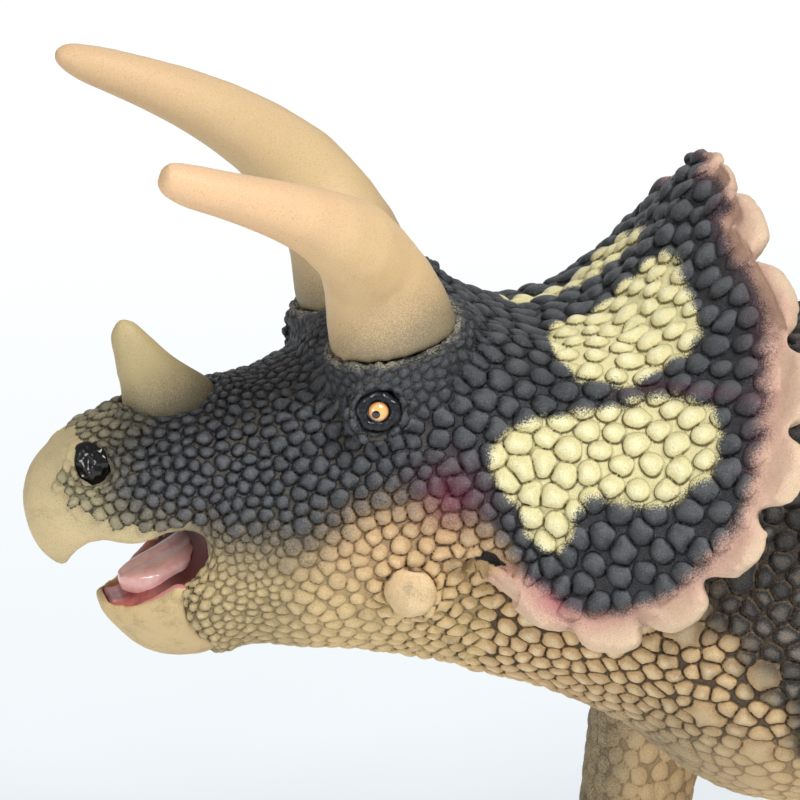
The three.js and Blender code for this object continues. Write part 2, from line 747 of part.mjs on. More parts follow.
// The tail, with the plug that seats it in the rump.
function tail(grow) {
  const rump = skullLength + bodyLength;
  const middle = bellyHeight + tailRootUp;
  const rings = [];
  const ringAt = (x, y, z, share) =>
    section(
      x,
      z + tailRootHalfHeight * share,
      z,
      z - tailRootHalfHeight * share,
      tailRootHalfWidth * share,
      2.2,
      legSides,
    ).map((p) => p.add(new THREE.Vector3(0, y, 0)));
  for (let i = 0; i <= legRings; i++) {
    const [along, share, drop, swing] = smoothRow(tailShares, i / legRings);
    rings.push(ringAt(rump + clearance + along * tailLength, swing * tailSwing, middle - drop * tailDrop, share));
  }
  const plugHalf = tailRootHalfHeight * tailPlugShare + grow;
  const plugRing = (x) =>
    section(
      x,
      middle + plugHalf,
      middle,
      middle - plugHalf,
      tailRootHalfWidth * tailPlugShare + grow,
      2.2,
      legSides,
    );
  const plug = solid(loft([plugRing(rump - tailPlugLength - grow), plugRing(rump + overrun)]));
  return grow > 0 ? plug : solid(loft(rings)).add(plug);
}

// One leg as a lofted casting. Its top is the plug that sits in the body's socket.
function leg(spec, grow) {
  const rings = [];
  for (let i = 0; i <= legRings; i++) {
    const [up, length, width, stride, bulge] = smoothRow(spec.shares, i / legRings);
    const top = i === legRings ? grow : 0;
    rings.push(
      levelOval(
        spec.back + stride * spec.stride - bulge * spec.bulge,
        spec.side * (spec.track + spec.out * up),
        up * spec.height + top,
        (length * spec.length) / 2 + grow,
        (width * spec.width) / 2 + grow,
        legSides,
      ),
    );
  }
  let made = solid(loft(rings));
  if (grow > 0) return made;
  for (let k = 0; k < toeCount; k++) {
    const angle = (k - (toeCount - 1) / 2) * toeSpreadShare * Math.PI;
    const toe = new THREE.SphereGeometry(toeRadius, toeSides, toeSides / 2);
    toe.scale(1.05, 0.95, 1);
    toe.rotateZ(-angle);
    toe.translate(
      spec.back + spec.stride - (spec.length / 2 - toeRadius / 3) * Math.cos(angle),
      spec.side * spec.track + (spec.width / 2 - toeRadius / 3) * Math.sin(angle),
      toeRadius / 3,
    );
    made = made.add(solid(toe));
  }
  const ground = new THREE.BoxGeometry(4 * spec.length, 4 * spec.width, 4 * toeRadius);
  ground.translate(spec.back + spec.stride, spec.side * spec.track, -2 * toeRadius);
  return made.subtract(solid(ground));
}

const fore = {
  shares: foreLegShares,
  height: foreLegHeight,
  length: foreLegLength,
  width: foreLegWidth,
  back: shoulderBack,
  track: foreTrack,
  out: shoulderOut,
  bulge: 0,
};
const hind = {
  shares: hindLegShares,
  height: hindLegHeight,
  length: hindLegLength,
  width: hindLegWidth,
  back: hipBack,
  track: hindTrack,
  out: hipOut,
  bulge: kneeForward,
};
const legSpecs = {
  left_foreleg: { ...fore, side: -1, stride: foreStrideBehind },
  right_foreleg: { ...fore, side: 1, stride: -foreStrideAhead },
  left_hindleg: { ...hind, side: -1, stride: -hindStrideAhead },
  right_hindleg: { ...hind, side: 1, stride: hindStrideBehind },
};

// The body with the neck, and the sockets for everything that plugs into it.
function bodyCasting() {
  const rings = [];
  for (let i = 0; i <= bodyRings; i++) {
    const [along, top, wide, bottom, half] = smoothRow(bodyShares, i / bodyRings);
    const x = skullLength + clearance + along * (bodyLength - clearance);
    rings.push(
      section(
        x,
        bellyHeight + top * bodyHeight,
        bellyHeight + wide * bodyHeight,
        bellyHeight + bottom * bodyHeight,
        (half * bodyWidth) / 2,
        2.2,
        ringSides,
      ),
    );
  }
  let made = solid(loft(rings)).add(neckPlug(0)).subtract(frill(clearance)).subtract(tail(clearance));
  for (const spec of Object.values(legSpecs)) made = made.subtract(leg(spec, clearance));
  return made;
}

const rightHorn = browHorn(0, 0);
const leftHorn = mirrored(browHorn(0, leftHornShorter));
const rightEye = eye(0);
const snoutHorn = noseHorn(0);
const lining = mouthLining(0);

// Skull, frill, collars, eyelids and knobs as one casting, before it is parted at the jaw.
function wholeHead() {
  const oneSide = [hornCollar(), eyelid(), cheekKnob()];
  const cuts = [browHorn(clearance, 0), eye(clearance), nostril()];
  let made = skullForm(1, 0).add(frill(0)).add(brow());
  for (const extra of oneSide) made = made.add(extra).add(mirrored(extra));
  made = made.subtract(acrossFigure(mouthOutline, headWidth));
  for (const cut of cuts) made = made.subtract(cut).subtract(mirrored(cut));
  return made.subtract(noseHorn(clearance)).subtract(mouthLining(clearance)).subtract(neckPlug(clearance));
}

const head = wholeHead();
const headCasting = head.subtract(lowerBeakRegion(clearance)).subtract(jawTenon(clearance));
const lowerBeak = head
  .intersect(lowerBeakRegion(0))
  .intersect(jawPlan(1, 0))
  .add(jawTenon(0).intersect(skullForm(liningShare, 0)))
  .subtract(mouthLining(clearance));

const figure = new THREE.Group();

// Cuts that graze a surface can leave slivers behind, so only the largest body is kept.
const withoutSlivers = (body) => body.decompose().reduce((a, b) => (a.volume() > b.volume() ? a : b));

function addPiece(name, body, paint) {
  const piece = new THREE.Mesh(geometryOf(withoutSlivers(body)), new THREE.MeshStandardMaterial(paint));
  piece.name = name;
  figure.add(piece);
}

addPiece("head_with_frill", headCasting, skinPaint);
addPiece("lower_beak", lowerBeak, hornPaint);
addPiece("mouth_lining", lining, mouthPaint);
addPiece("tongue", tongue(), mouthPaint);
addPiece("nose_horn", snoutHorn, hornPaint);
addPiece("right_brow_horn", rightHorn, hornPaint);
addPiece("left_brow_horn", leftHorn, hornPaint);
addPiece("right_eye", rightEye, eyePaint);
addPiece("left_eye", mirrored(rightEye), eyePaint);
addPiece("body_with_neck", bodyCasting(), skinPaint);
for (const [name, spec] of Object.entries(legSpecs)) addPiece(name, leg(spec, 0), bellyPaint);
addPiece("tail", tail(0), skinPaint);

// The origin is on the ground, under the middle of the figure.
const box = new THREE.Box3().setFromObject(figure);
figure.position.set(-(box.min.x + box.max.x) / 2, -(box.min.y + box.max.y) / 2, 0);

export default figure;
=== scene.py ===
import itertools
import json
import math
import bpy
import numpy as np
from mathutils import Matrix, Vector
from mathutils.bvhtree import BVHTree
from mathutils.kdtree import KDTree

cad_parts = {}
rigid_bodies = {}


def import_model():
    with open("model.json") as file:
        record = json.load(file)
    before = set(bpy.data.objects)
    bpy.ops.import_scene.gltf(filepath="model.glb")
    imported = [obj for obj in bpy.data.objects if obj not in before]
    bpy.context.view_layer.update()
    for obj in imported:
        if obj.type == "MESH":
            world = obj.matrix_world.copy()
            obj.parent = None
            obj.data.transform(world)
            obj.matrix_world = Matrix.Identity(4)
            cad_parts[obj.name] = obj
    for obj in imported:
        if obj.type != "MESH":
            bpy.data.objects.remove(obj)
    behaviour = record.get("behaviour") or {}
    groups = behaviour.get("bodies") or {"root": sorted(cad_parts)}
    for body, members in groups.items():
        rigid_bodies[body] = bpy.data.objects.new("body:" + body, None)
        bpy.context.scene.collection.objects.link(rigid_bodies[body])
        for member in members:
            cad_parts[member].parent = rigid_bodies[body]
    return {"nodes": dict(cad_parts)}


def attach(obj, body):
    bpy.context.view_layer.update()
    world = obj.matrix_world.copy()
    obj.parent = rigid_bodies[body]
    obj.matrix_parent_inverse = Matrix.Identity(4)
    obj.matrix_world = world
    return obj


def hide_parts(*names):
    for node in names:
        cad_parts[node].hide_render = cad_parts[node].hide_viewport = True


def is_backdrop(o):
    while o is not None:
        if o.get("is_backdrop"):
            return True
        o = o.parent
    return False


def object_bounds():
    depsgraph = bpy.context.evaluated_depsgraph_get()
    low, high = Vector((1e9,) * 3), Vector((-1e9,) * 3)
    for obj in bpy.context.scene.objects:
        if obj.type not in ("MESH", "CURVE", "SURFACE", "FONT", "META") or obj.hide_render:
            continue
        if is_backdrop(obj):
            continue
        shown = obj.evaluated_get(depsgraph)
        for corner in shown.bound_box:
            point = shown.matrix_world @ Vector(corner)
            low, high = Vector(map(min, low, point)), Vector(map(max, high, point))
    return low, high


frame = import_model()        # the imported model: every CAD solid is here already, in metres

cadBox = [list(corner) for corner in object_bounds()]
nodes = frame["nodes"]

# measures in this script are in millimetres from the front of the head: x backwards, z up from the floor
figure = {"beakTip": 150.374, "seed": 41}
mm = 0.001


def say(words):
    print("triceratops:", words, flush=True)


def toRow(x, y, z):
    return Vector(((x - figure["beakTip"]) / 1000, y / 1000, z / 1000))


def deselect():
    bpy.ops.object.select_all(action="DESELECT")


def pick(*objects):
    deselect()
    for obj in objects:
        obj.select_set(True)
    bpy.context.view_layer.objects.active = objects[-1]


def meshEdit(obj, *steps):
    # runs mesh operators on the whole of a mesh; each step is an operator and its settings
    pick(obj)
    bpy.ops.object.mode_set(mode="EDIT")
    bpy.ops.mesh.select_all(action="SELECT")
    for operator, settings in steps:
        operator(**settings)
    bpy.ops.object.mode_set(mode="OBJECT")


def rename(obj, name):
    obj.name = obj.data.name = name


def readPoints(obj):
    flat = np.empty(len(obj.data.vertices) * 3)
    obj.data.vertices.foreach_get("co", flat)
    points = flat.reshape(-1, 3) * 1000
    points[:, 0] += figure["beakTip"]
    return points


def writePoints(obj, points):
    moved = points.copy()
    moved[:, 0] -= figure["beakTip"]
    obj.data.vertices.foreach_set("co", (moved / 1000).ravel())
    obj.data.update()


def readNormals(obj):
    flat = np.empty(len(obj.data.vertices) * 3)
    obj.data.vertex_normals.foreach_get("vector", flat)
    return flat.reshape(-1, 3)


def readBoth(obj):
    return readPoints(obj), readNormals(obj)


def writeField(obj, name, values):
    field = obj.data.attributes.get(name) or obj.data.attributes.new(name, "FLOAT", "POINT")
    field.data.foreach_set("value", np.asarray(values, dtype=np.float32))


def readField(obj, name):
    values = np.empty(len(obj.data.vertices), dtype=np.float32)
    obj.data.attributes[name].data.foreach_get("value", values)
    return values.astype(float)


def blendStep(low, high, values):
    # 0 below low, 1 above high and smooth between
    t = np.clip((values - low) / (high - low), 0, 1)
    return t * t * (3 - 2 * t)


def hill(*reaches):
    # 1 in the middle, falling off all round; a reach is a distance and the width that it falls off over
    return np.exp(-sum((far / width) ** 2 for far, width in reaches))


def lumps(points, size, seed):
    # smooth random values from 0 to 1 that change over about this size
    spot = points / size + seed * 13.7
    corner = np.floor(spot).astype(np.int64)
    part = spot - corner
    part = part * part * (3 - 2 * part)
    total = np.zeros(len(points))
    for dx, dy, dz in itertools.product((0, 1), repeat=3):
        mixed = (corner[:, 0] + dx) * 73856093 ^ (corner[:, 1] + dy) * 19349663      # large primes
        mixed = mixed ^ (corner[:, 2] + dz) * 83492791 ^ (seed * 2654435761)
        mixed = (mixed ^ (mixed >> 13)) * 1274126177
        value = ((mixed ^ (mixed >> 16)) & 0xFFFF) / 65535
        share = (part[:, 0] if dx else 1 - part[:, 0]) * (part[:, 1] if dy else 1 - part[:, 1])
        total += value * share * (part[:, 2] if dz else 1 - part[:, 2])
    return total


def sideOf(points, outline, up=2):
    # distance to a closed outline seen from the side (up=2) or from above (up=1), positive inside it
    x, z = points[:, 0], points[:, 2] if up == 2 else np.abs(points[:, 1])
    nearest = np.full(len(x), np.inf)
    inside = np.zeros(len(x), dtype=bool)
    for (ax, az), (bx, bz) in zip(outline, outline[1:] + outline[:1]):
        ex, ez = bx - ax, bz - az
        t = np.clip(((x - ax) * ex + (z - az) * ez) / (ex * ex + ez * ez), 0, 1)
        nearest = np.minimum(nearest, np.hypot(x - ax - t * ex, z - az - t * ez))
        if ez:
            inside ^= ((az > z) != (bz > z)) & (x < ex * (z - az) / ez + ax)
    return np.where(inside, nearest, -nearest)


def lineTo(points, route):
    # distance to an open route of places; two numbers a place mean a view from the side
    flat = len(route[0]) == 2
    here = points[:, [0, 2]] if flat else np.stack([points[:, 0], np.abs(points[:, 1]), points[:, 2]], axis=1)
    nearest = np.full(len(points), np.inf)
    for start, end in zip(route, route[1:]):
        start, step = np.array(start), np.array(end) - np.array(start)
        t = np.clip((here - start) @ step / (step @ step), 0, 1)
        nearest = np.minimum(nearest, np.linalg.norm(here - start - t[:, None] * step, axis=1))
    return nearest


def copyNode(node, name):
    pick(nodes[node])
    bpy.ops.object.duplicate()
    obj = bpy.context.active_object
    for key in list(obj.keys()):
        del obj[key]
    bpy.ops.object.parent_clear(type="CLEAR_KEEP_TRANSFORM")
    rename(obj, name)
    obj.data.materials.clear()
    meshEdit(obj, (bpy.ops.mesh.remove_doubles, {"threshold": 0.001 * mm}))
    return obj


def modify(obj, kind, **settings):
    pick(obj)
    bpy.ops.object.modifier_add(type=kind)
    modifier = obj.modifiers[-1]
    for key, value in settings.items():
        setattr(modifier, key, value)
    bpy.ops.object.modifier_apply(modifier=modifier.name)


def subdivide(obj):
    modify(obj, "SUBSURF", levels=1, render_levels=1, use_limit_surface=False)


def remesh(obj, voxel):
    modify(obj, "REMESH", mode="VOXEL", voxel_size=voxel / 1000, use_smooth_shade=True)


cuts = {"weld": 0.0001, "tiltAt": 69.0}      # weld is how near to a cut a point moves onto it


def cutAcross(obj, axis, at, keep, close=True, slope=0.0):
    # cuts across and may close the cut; keep is "low" or "high"; slope tilts a level cut
    facing = Vector((-slope, 0, 0))
    facing[axis] = 1.0
    place = [cuts["tiltAt"], 0.0, 0.0]
    place[axis] = at
    plane = {"plane_co": toRow(*place), "plane_no": facing.normalized(), "threshold": cuts["weld"] * mm}
    plane |= {"use_fill": close, "clear_outer": keep == "low", "clear_inner": keep == "high"}
    sharp = [(bpy.ops.mesh.mark_sharp, {})] if close else []
    meshEdit(obj, (bpy.ops.mesh.bisect, plane), *sharp)


def neighbours(obj):
    # a function that gives each point the mean of its neighbours' values
    ends = np.empty(len(obj.data.edges) * 2, dtype=np.int64)
    obj.data.edges.foreach_get("vertices", ends)
    one, two = ends[0::2], ends[1::2]
    count = len(obj.data.vertices)
    degree = np.maximum(np.bincount(one, minlength=count) + np.bincount(two, minlength=count), 1)

    def mean(values):
        return (np.bincount(one, values[two], count) + np.bincount(two, values[one], count)) / degree
    return mean


def relax(obj, rounds, weight=1.0):
    # rounds a skin off; weight may be one number or one for each point
    points = readPoints(obj)
    mean = neighbours(obj)
    for _ in range(rounds):
        for column in points.T:
            column += 0.5 * weight * (mean(column) - column)
    writePoints(obj, points)


def spread(obj, values, rounds):
    # softens a field of values over the surface
    mean = neighbours(obj)
    for _ in range(rounds):
        values = 0.5 * values + 0.5 * mean(values)
    return values


def largestShell(obj):
    # drops any closed pocket that the remesh left inside
    meshEdit(obj, (bpy.ops.mesh.separate, {"type": "LOOSE"}))
    shells = sorted(bpy.context.selected_objects, key=lambda shell: len(shell.data.vertices))
    for shell in shells[:-1]:
        bpy.data.objects.remove(shell, do_unlink=True)
    return shells[-1]


# ---- the skin: one casting, remeshed from the solids ----

skin = {
    "fineVoxel": 0.56, "coarseVoxel": 1.0, "grow": 0.22, "overlap": 5,
    "shoulderCut": 99, "faceCut": 54, "frillCut": 67, "crownCut": 94.3, "crownSlope": 0.113,
    "bellyCut": 36, "tailCut": 228, "limbCut": 150,
    "faceRounds": 9, "fleshRounds": 80, "fleshSpread": 6, "trunkRounds": 34, "rimHold": 0.7, "footRounding": 0.15,
}


def grow(obj, amount):
    modify(obj, "DISPLACE", strength=amount / 1000, mid_level=0.0)


def buildSkin(name, members, cutting, voxel):
    copies = [copyNode(member, name) for member in members]
    for member in copies:      # grown a little, so that they run into each other
        grow(member, skin["grow"])
    pick(*copies)
    bpy.ops.object.join()
    obj = bpy.context.active_object
    rename(obj, name)
    remesh(obj, voxel)
    for axis, at, keep in cutting:      # left open: a wide cap would slow the subdivision
        cutAcross(obj, axis, at, keep, close=False)
    return largestShell(obj)


def treeOfNodes(*names):
    # a search tree over the faces of these CAD nodes
    corners, faces = [], []
    for name in names:
        source = nodes[name].data
        faces += [[len(corners) + i for i in face.vertices] for face in source.polygons]
        corners += [vertex.co.copy() for vertex in source.vertices]
    return BVHTree.FromPolygons(corners, faces)


def nearestNode(obj, node):
    tree = treeOfNodes(node)
    flat = np.empty(len(obj.data.vertices) * 3)
    obj.data.vertices.foreach_get("co", flat)
    return np.array([tree.find_nearest(place)[3] for place in flat.reshape(-1, 3).tolist()]) * 1000


# ---- where each kind of skin and paint lies ----

outline = {      # seen from the side; upperPatch is seen from above
    "upperPatch": [(66.3, 4.2), (68.8, 3), (73.1, 2.8), (78.2, 2.8), (80, 3.2), (81.3, 4.8), (81.9, 9.1),
                   (81.4, 12.7), (81.3, 17.7), (80.8, 21.2), (79.1, 22.5), (75.6, 21.9), (72.6, 22.3),
                   (70.8, 22.1), (68.4, 20.5), (66, 19.2), (64.5, 16.1), (64.4, 10.8)],
    "lowerPatch": [(54.3, 85.4), (54.5, 87.8), (56.7, 90.1), (59.7, 91.3), (63.1, 91.5), (66.1, 92.2),
                   (70.5, 92.8), (74.6, 94), (77.7, 94.3), (79.9, 93.9), (80, 91.7), (79.1, 89.5),
                   (78, 86.9), (75.6, 85.5), (74.1, 83.8), (71.4, 82.9), (68.7, 82.6), (67, 82.9),
                   (66.7, 83.7), (64.9, 83.2), (64.5, 81.8), (63.4, 80.4), (63.1, 78.3), (61.9, 76),
                   (60.3, 76.2), (58.2, 77.9), (57.4, 80.8), (55.6, 82.7)],
    "shield": [(87.1, 113.2), (86.3, 112.3), (85.8, 111.5), (86.5, 109.5), (86.8, 107.6), (87.5, 105.9),
               (87.6, 103), (86.2, 100.5), (85.3, 97.6), (84.4, 94.4), (83, 91), (82.2, 88.5), (81, 85.6),
               (79.2, 82.4), (76.1, 77.4), (74, 74.4), (71.6, 72.2), (68.7, 70.1), (65.6, 68.7),
               (62.5, 69.3), (59.9, 70.9), (57.7, 72.1), (56, 74.2), (30, 50), (0, 50), (0, 113.2)],
    "darkFace": [(14.7, 91.2), (13.8, 89.3), (10.8, 86.3), (10.8, 81.7), (14.4, 78), (19.1, 77.4),
                 (23.8, 77.3), (28.3, 77.7), (32.7, 79.7), (37.3, 82.5), (41.4, 83.3), (45.3, 83.2),
                 (49.4, 81.3), (52.7, 79.4), (54.6, 76.6), (56.8, 74), (58, 66), (140, 60), (140, 140),
                 (14.7, 140)],
    "beak": [(13.2, 90.5), (10.3, 89.8), (7.9, 88.5), (6.5, 86.5), (4.4, 83.3), (3.8, 81.5), (5, 80.5),
             (6.4, 78.3), (8.8, 77.4), (10.9, 77.1), (12.7, 76.6), (14.8, 76.9), (17.8, 77.3), (21, 77),
             (21.5, 75.5), (15, 70), (-9, 70), (-9, 97), (13.2, 97)],
    "wrinkles": [(20.5, 76.5), (29.8, 76.5), (31, 70), (27.2, 63), (22.8, 62), (21, 71)],
    "earCrack": [(56.2, 73.3), (53.8, 74.2), (52.3, 73.2), (52.5, 71.4)],
}
# where two rim lobes meet: the notch, then where the furrow between them runs out
notches = [
    [(90.6, 0, 116), (87.8, 0, 113)], [(90.2, 8, 115.4), (87.2, 7.5, 111.5)],
    [(91.2, 20, 110), (86.6, 18.5, 106.6)], [(90.8, 31, 102), (86, 28.5, 99.8)],
    [(87.8, 40, 93.4), (83.6, 37, 92.4)], [(83.5, 42.6, 84.2), (79.6, 39.5, 84.8)],
    [(77.8, 39.6, 75), (74.6, 37, 77.4)], [(71.2, 35, 66.8), (69.4, 33, 71)], [(62.6, 29, 65.8), (63.6, 28.4, 70.4)],
]
spot = {      # x and z, or x, y and z
    "nostril": (8.1, 84.1), "eye": (41, 92.9), "knob": (44.9, 69.5), "blushCheek": (49.6, 81.2),
    "browSeat": (45, 10.6, 99.2), "noseSeat": (18.6, 0, 90.2),
}
# where the paint ends, and pairs of tables over x; saddle is the height of the dark back's edge
paintAt = {
    "rimFrom": 76, "rimOut": 21.5, "rimMiddle": 1.8, "rimFar": 1.5, "patchFrom": 93, "farPatchOut": 15.5,
    "farPatchIn": ([68, 74, 78, 84], [9, 8, 6, 3.5]),
    "faceSoft": ([0, 12, 30, 48, 60], [3, 4, 4.6, 2.6, 1.4]),
    "faceShift": ([0, 14, 24, 34, 46, 54], [0.2, 0.35, 0.7, 1.15, 0.9, 0.2]),
    "saddle": ([50, 66, 76, 84, 92, 98, 112, 135, 165, 205, 230, 270, 300],
               [92, 81, 69, 57, 49, 46, 50, 60, 64, 65, 60, 54, 44]),
    "saddleSoft": 7, "far": -40, "none": -30,      # far and none stand for places outside an outline
}


say("front skin")
edge = skin["overlap"]
frontSkin = buildSkin("front_skin", ["head_with_frill", "body_with_neck", "left_foreleg", "right_foreleg"],
                      [(0, skin["shoulderCut"] + edge, "low"), (2, skin["bellyCut"] - edge, "high")],
                      skin["fineVoxel"])
shoulder = ("body_with_neck", "left_foreleg", "right_foreleg")
toHead = nearestNode(frontSkin, "head_with_frill")
toBody = np.min([nearestNode(frontSkin, node) for node in shoulder], axis=0)
flesh = spread(frontSkin, (toBody < toHead).astype(float), skin["fleshSpread"])
points = readPoints(frontSkin)
atRim = blendStep(0.5, 3, -sideOf(points, outline["shield"])) * (np.abs(points[:, 1]) > 6) * (points[:, 0] > 57)
relax(frontSkin, skin["faceRounds"], 1 - skin["rimHold"] * atRim)
relax(frontSkin, skin["fleshRounds"], flesh * blendStep(0.3, 1, flesh))
writeField(frontSkin, "neck", flesh)
subdivide(frontSkin)


def bodySkin(name, members, cutting):
    # a part of the body with feet that stay sharper than the rest; it counts as neck throughout
    obj = buildSkin(name, members, cutting, skin["coarseVoxel"])
    above = blendStep(8, 16, readPoints(obj)[:, 2])
    relax(obj, skin["trunkRounds"], skin["footRounding"] + (1 - skin["footRounding"]) * above)
    writeField(obj, "neck", np.ones(len(obj.data.vertices)))
    subdivide(obj)
    return obj


say("rear skin")
rearSkin = bodySkin("rear_skin", [*shoulder, "left_hindleg", "right_hindleg", "tail"],
                    [(0, skin["shoulderCut"] - edge, "high")])
footSkin = bodySkin("foot_skin", ["body_with_neck", "right_foreleg"],
                    [(0, skin["shoulderCut"] + edge, "low"), (2, skin["bellyCut"] + edge, "low")])
skins = [frontSkin, rearSkin, footSkin]
for obj in skins:
    say(f"{obj.name} {len(obj.data.vertices)} points")


def around(points, name):
    # distance from a spot, seen from the side
    x, z = spot[name][0], spot[name][-1]
    return np.hypot(points[:, 0] - x, points[:, 2] - z)


def fromBrow(points):
    # distance from the seat of the nearer brow horn
    x, y, z = spot["browSeat"]
    return np.hypot(np.hypot(points[:, 0] - x, np.abs(points[:, 1]) - y), points[:, 2] - z)


def toNotch(points):
    return np.min([lineTo(points, route) for route in notches], axis=0)


def layOut(obj):
    # every field that both the scales and the paint read; a side is a distance inside an outline
    points, normals = readBoth(obj)
    neck = readField(obj, "neck")
    head = neck < 0.5
    x, y, z = points.T
    hand = np.where(y < 0, -1.0, 1.0)
    front = -0.6 * normals[:, 0] + 0.55 * hand * normals[:, 1] + 0.6 * normals[:, 2]
    fields = {"neck": neck, "front": front}
    fields["beakSide"] = np.where(head, sideOf(points, outline["beak"]), paintAt["far"])
    behind = x > paintAt["rimFrom"]
    onRim = head & (behind | (np.abs(y) > paintAt["rimOut"]))
    rimSide = -sideOf(points, outline["shield"]) - paintAt["rimMiddle"] * (1 - blendStep(4, 13, np.abs(y))) * behind
    rimSide = rimSide - paintAt["rimFar"] * blendStep(0, 6, y) * (1 - blendStep(28, 34, y)) * behind
    fields["rimSide"] = np.where(onRim, rimSide, paintAt["far"])
    upper = np.where(z > paintAt["patchFrom"], sideOf(points, outline["upperPatch"], up=1), paintAt["none"])
    farPatch = np.minimum(paintAt["farPatchOut"] - y, y - np.interp(x, *paintAt["farPatchIn"]))
    upper = np.where(y > 0, np.minimum(upper, farPatch), upper)
    patch = np.maximum(upper, sideOf(points, outline["lowerPatch"]))
    fields["creamSide"] = np.where(head & (front > 0.05), patch, paintAt["none"])
    faceDark = sideOf(points, outline["darkFace"]) / np.interp(x, *paintAt["faceSoft"])
    faceDark = faceDark + np.interp(x, *paintAt["faceShift"])
    bodyDark = (z - np.interp(x, *paintAt["saddle"])) / paintAt["saddleSoft"]
    fields["darkSide"] = np.clip(np.where(head, faceDark, bodyDark), -4, 4)
    fields["wrinkleSide"] = np.where(head, sideOf(points, outline["wrinkles"]), paintAt["none"])
    return points, normals, fields


# ---- sculpted forms that come before the scales ----

forms = {
    "lobeSwell": 0.8, "lobeCut": 1.0, "lobeShift": 1.6, "nostrilPit": 1.5, "nostrilRim": 0.25, "earPit": 1.6,
    "eyeSocket": 0.8, "worn": 0.35, "knobSwell": 1.3, "knobMoat": 0.45, "knobRadius": 2.9,
    "widest": 43.45, "foremost": 0.48, "lowest": 0.01, "highest": 128.58,
}
# broad swellings and hollows of the skull: the lift, the z that it starts at, where it lies with its widths
swells = [
    (1.0, 0, {"x": (24, 3.2), "side": (0, 6)}), (-0.7, 86, {"x": (9.5, 3.5), "side": (0, 6)}),
    (-0.9, 0, {"x": (32, 3.2), "z": (97, 4.5)}), (1.6, 96, {"x": (53, 3.5), "side": (9, 5)}),
    (-1.7, 0, {"x": (69, 6), "y": (14, 5), "z": (97, 5)}),
]


def hold(points):
    # keeps a skin inside the figure's outer sizes
    points[:, 0] = np.maximum(points[:, 0], forms["foremost"])
    points[:, 1] = np.clip(points[:, 1], -forms["widest"], forms["widest"])
    points[:, 2] = np.clip(points[:, 2], forms["lowest"], forms["highest"])
    return points


def sculpt(obj):
    points, normals, fields = layOut(obj)
    lift = np.full(len(points), -skin["grow"] * 0.8)
    x, y, z = points.T
    side = np.abs(y)
    head = fields["neck"] < 0.5
    reach = around(points, "nostril")
    onSnout = head & (side > 2)
    lift -= np.where(onSnout, forms["nostrilPit"] * (1 - blendStep(1.4, 3.0, reach)), 0)
    lift += np.where(onSnout, forms["nostrilRim"] * hill((reach - 3.5, 0.6)), 0)
    lift -= np.where(side > 19, forms["earPit"] * (1 - blendStep(0.4, 1.3, lineTo(points, outline["earCrack"]))), 0)
    reach = around(points, "eye")
    ring = lumps(points, 1.3, 8) - 0.5
    socket = (1 - blendStep(1.5, 3.2, reach)) - 0.35 * hill((reach - 3.4 - ring, 0.45))
    lift -= np.where(head & (side > 12), forms["eyeSocket"] * socket, 0)
    if obj is frontSkin:
        worn = lumps(points, 5, 3) - 0.5
        lift += np.where(head, forms["worn"] * worn * blendStep(0, 3, -fields["beakSide"]), 0)
        knob = around(points, "knob")
        dome = np.sqrt(np.clip(1 - (knob / forms["knobRadius"]) ** 2, 0, 1))
        dome = forms["knobSwell"] * dome - forms["knobMoat"] * hill((knob - forms["knobRadius"] - 0.35, 0.4))
        lift += np.where(head & (side > 14), dome, 0)
        measure = {"x": x, "y": y, "side": side, "z": z}
        for height, above, widths in swells:
            swell = height * hill(*((measure[key] - middle, width) for key, (middle, width) in widths.items()))
            lift += np.where((head | ("y" in widths)) & (z > above), swell, 0)
        gap = toNotch(points)
        lobe = forms["lobeSwell"] * (1 - hill((gap, 2.2))) - forms["lobeCut"] * hill((gap, 0.7))
        lift += lobe * blendStep(0.6, 3.4, fields["rimSide"]) * (x > 57)
    points = points + normals * lift[:, None]
    onLobes = blendStep(1, 3, fields["rimSide"]) * blendStep(99, 104, points[:, 2])
    points[:, 0] -= forms["lobeShift"] * onLobes * blendStep(-2, 3, -points[:, 1])      # on the near side alone
    writePoints(obj, hold(points))


for obj in skins:
    sculpt(obj)

# ---- scales: places first, over the whole figure, then the relief of each ----

scales = {      # sizes across, from the snout to the tail, then how they are spaced and raised
    "snout": 1.85, "nostril": 1.6, "cheek": 2.25, "temple": 2.95, "frill": 3.7, "patch": 3.35,
    "wrinkles": 1.3, "brow": 1.6, "neck": 2.6, "shoulder": 2.8, "trunk": 3.1, "leg": 2.6, "foot": 1.9,
    "tail": 2.8, "bigSize": 4.9, "bigApart": 8.2, "bigMargin": 0.9, "apart": 0.80, "vary": 0.1,
    "lift": 1.5, "settle": 2, "near": 6, "even": 30, "warp": 0.6,
    "height": 0.26, "roundEdge": 0.47, "packedEdge": 0.535, "fleshEdge": 0.57, "groove": 0.06,
    "border": 0.16, "warpSize": 1.9, "lowFront": (-0.55, 0, -0.83), "leanMost": 1.2, "knobWave": 0.7,
    "heightBySize": ([1.2, 2.0, 3.5, 5], [0.75, 1.1, 0.92, 0.72]), "blotSize": 5.5, "nowhere": 99,
}
bodyScales = {58: "neck", 80: "neck", 92: "shoulder", 120: "trunk", 220: "trunk", 240: "tail"}      # by x


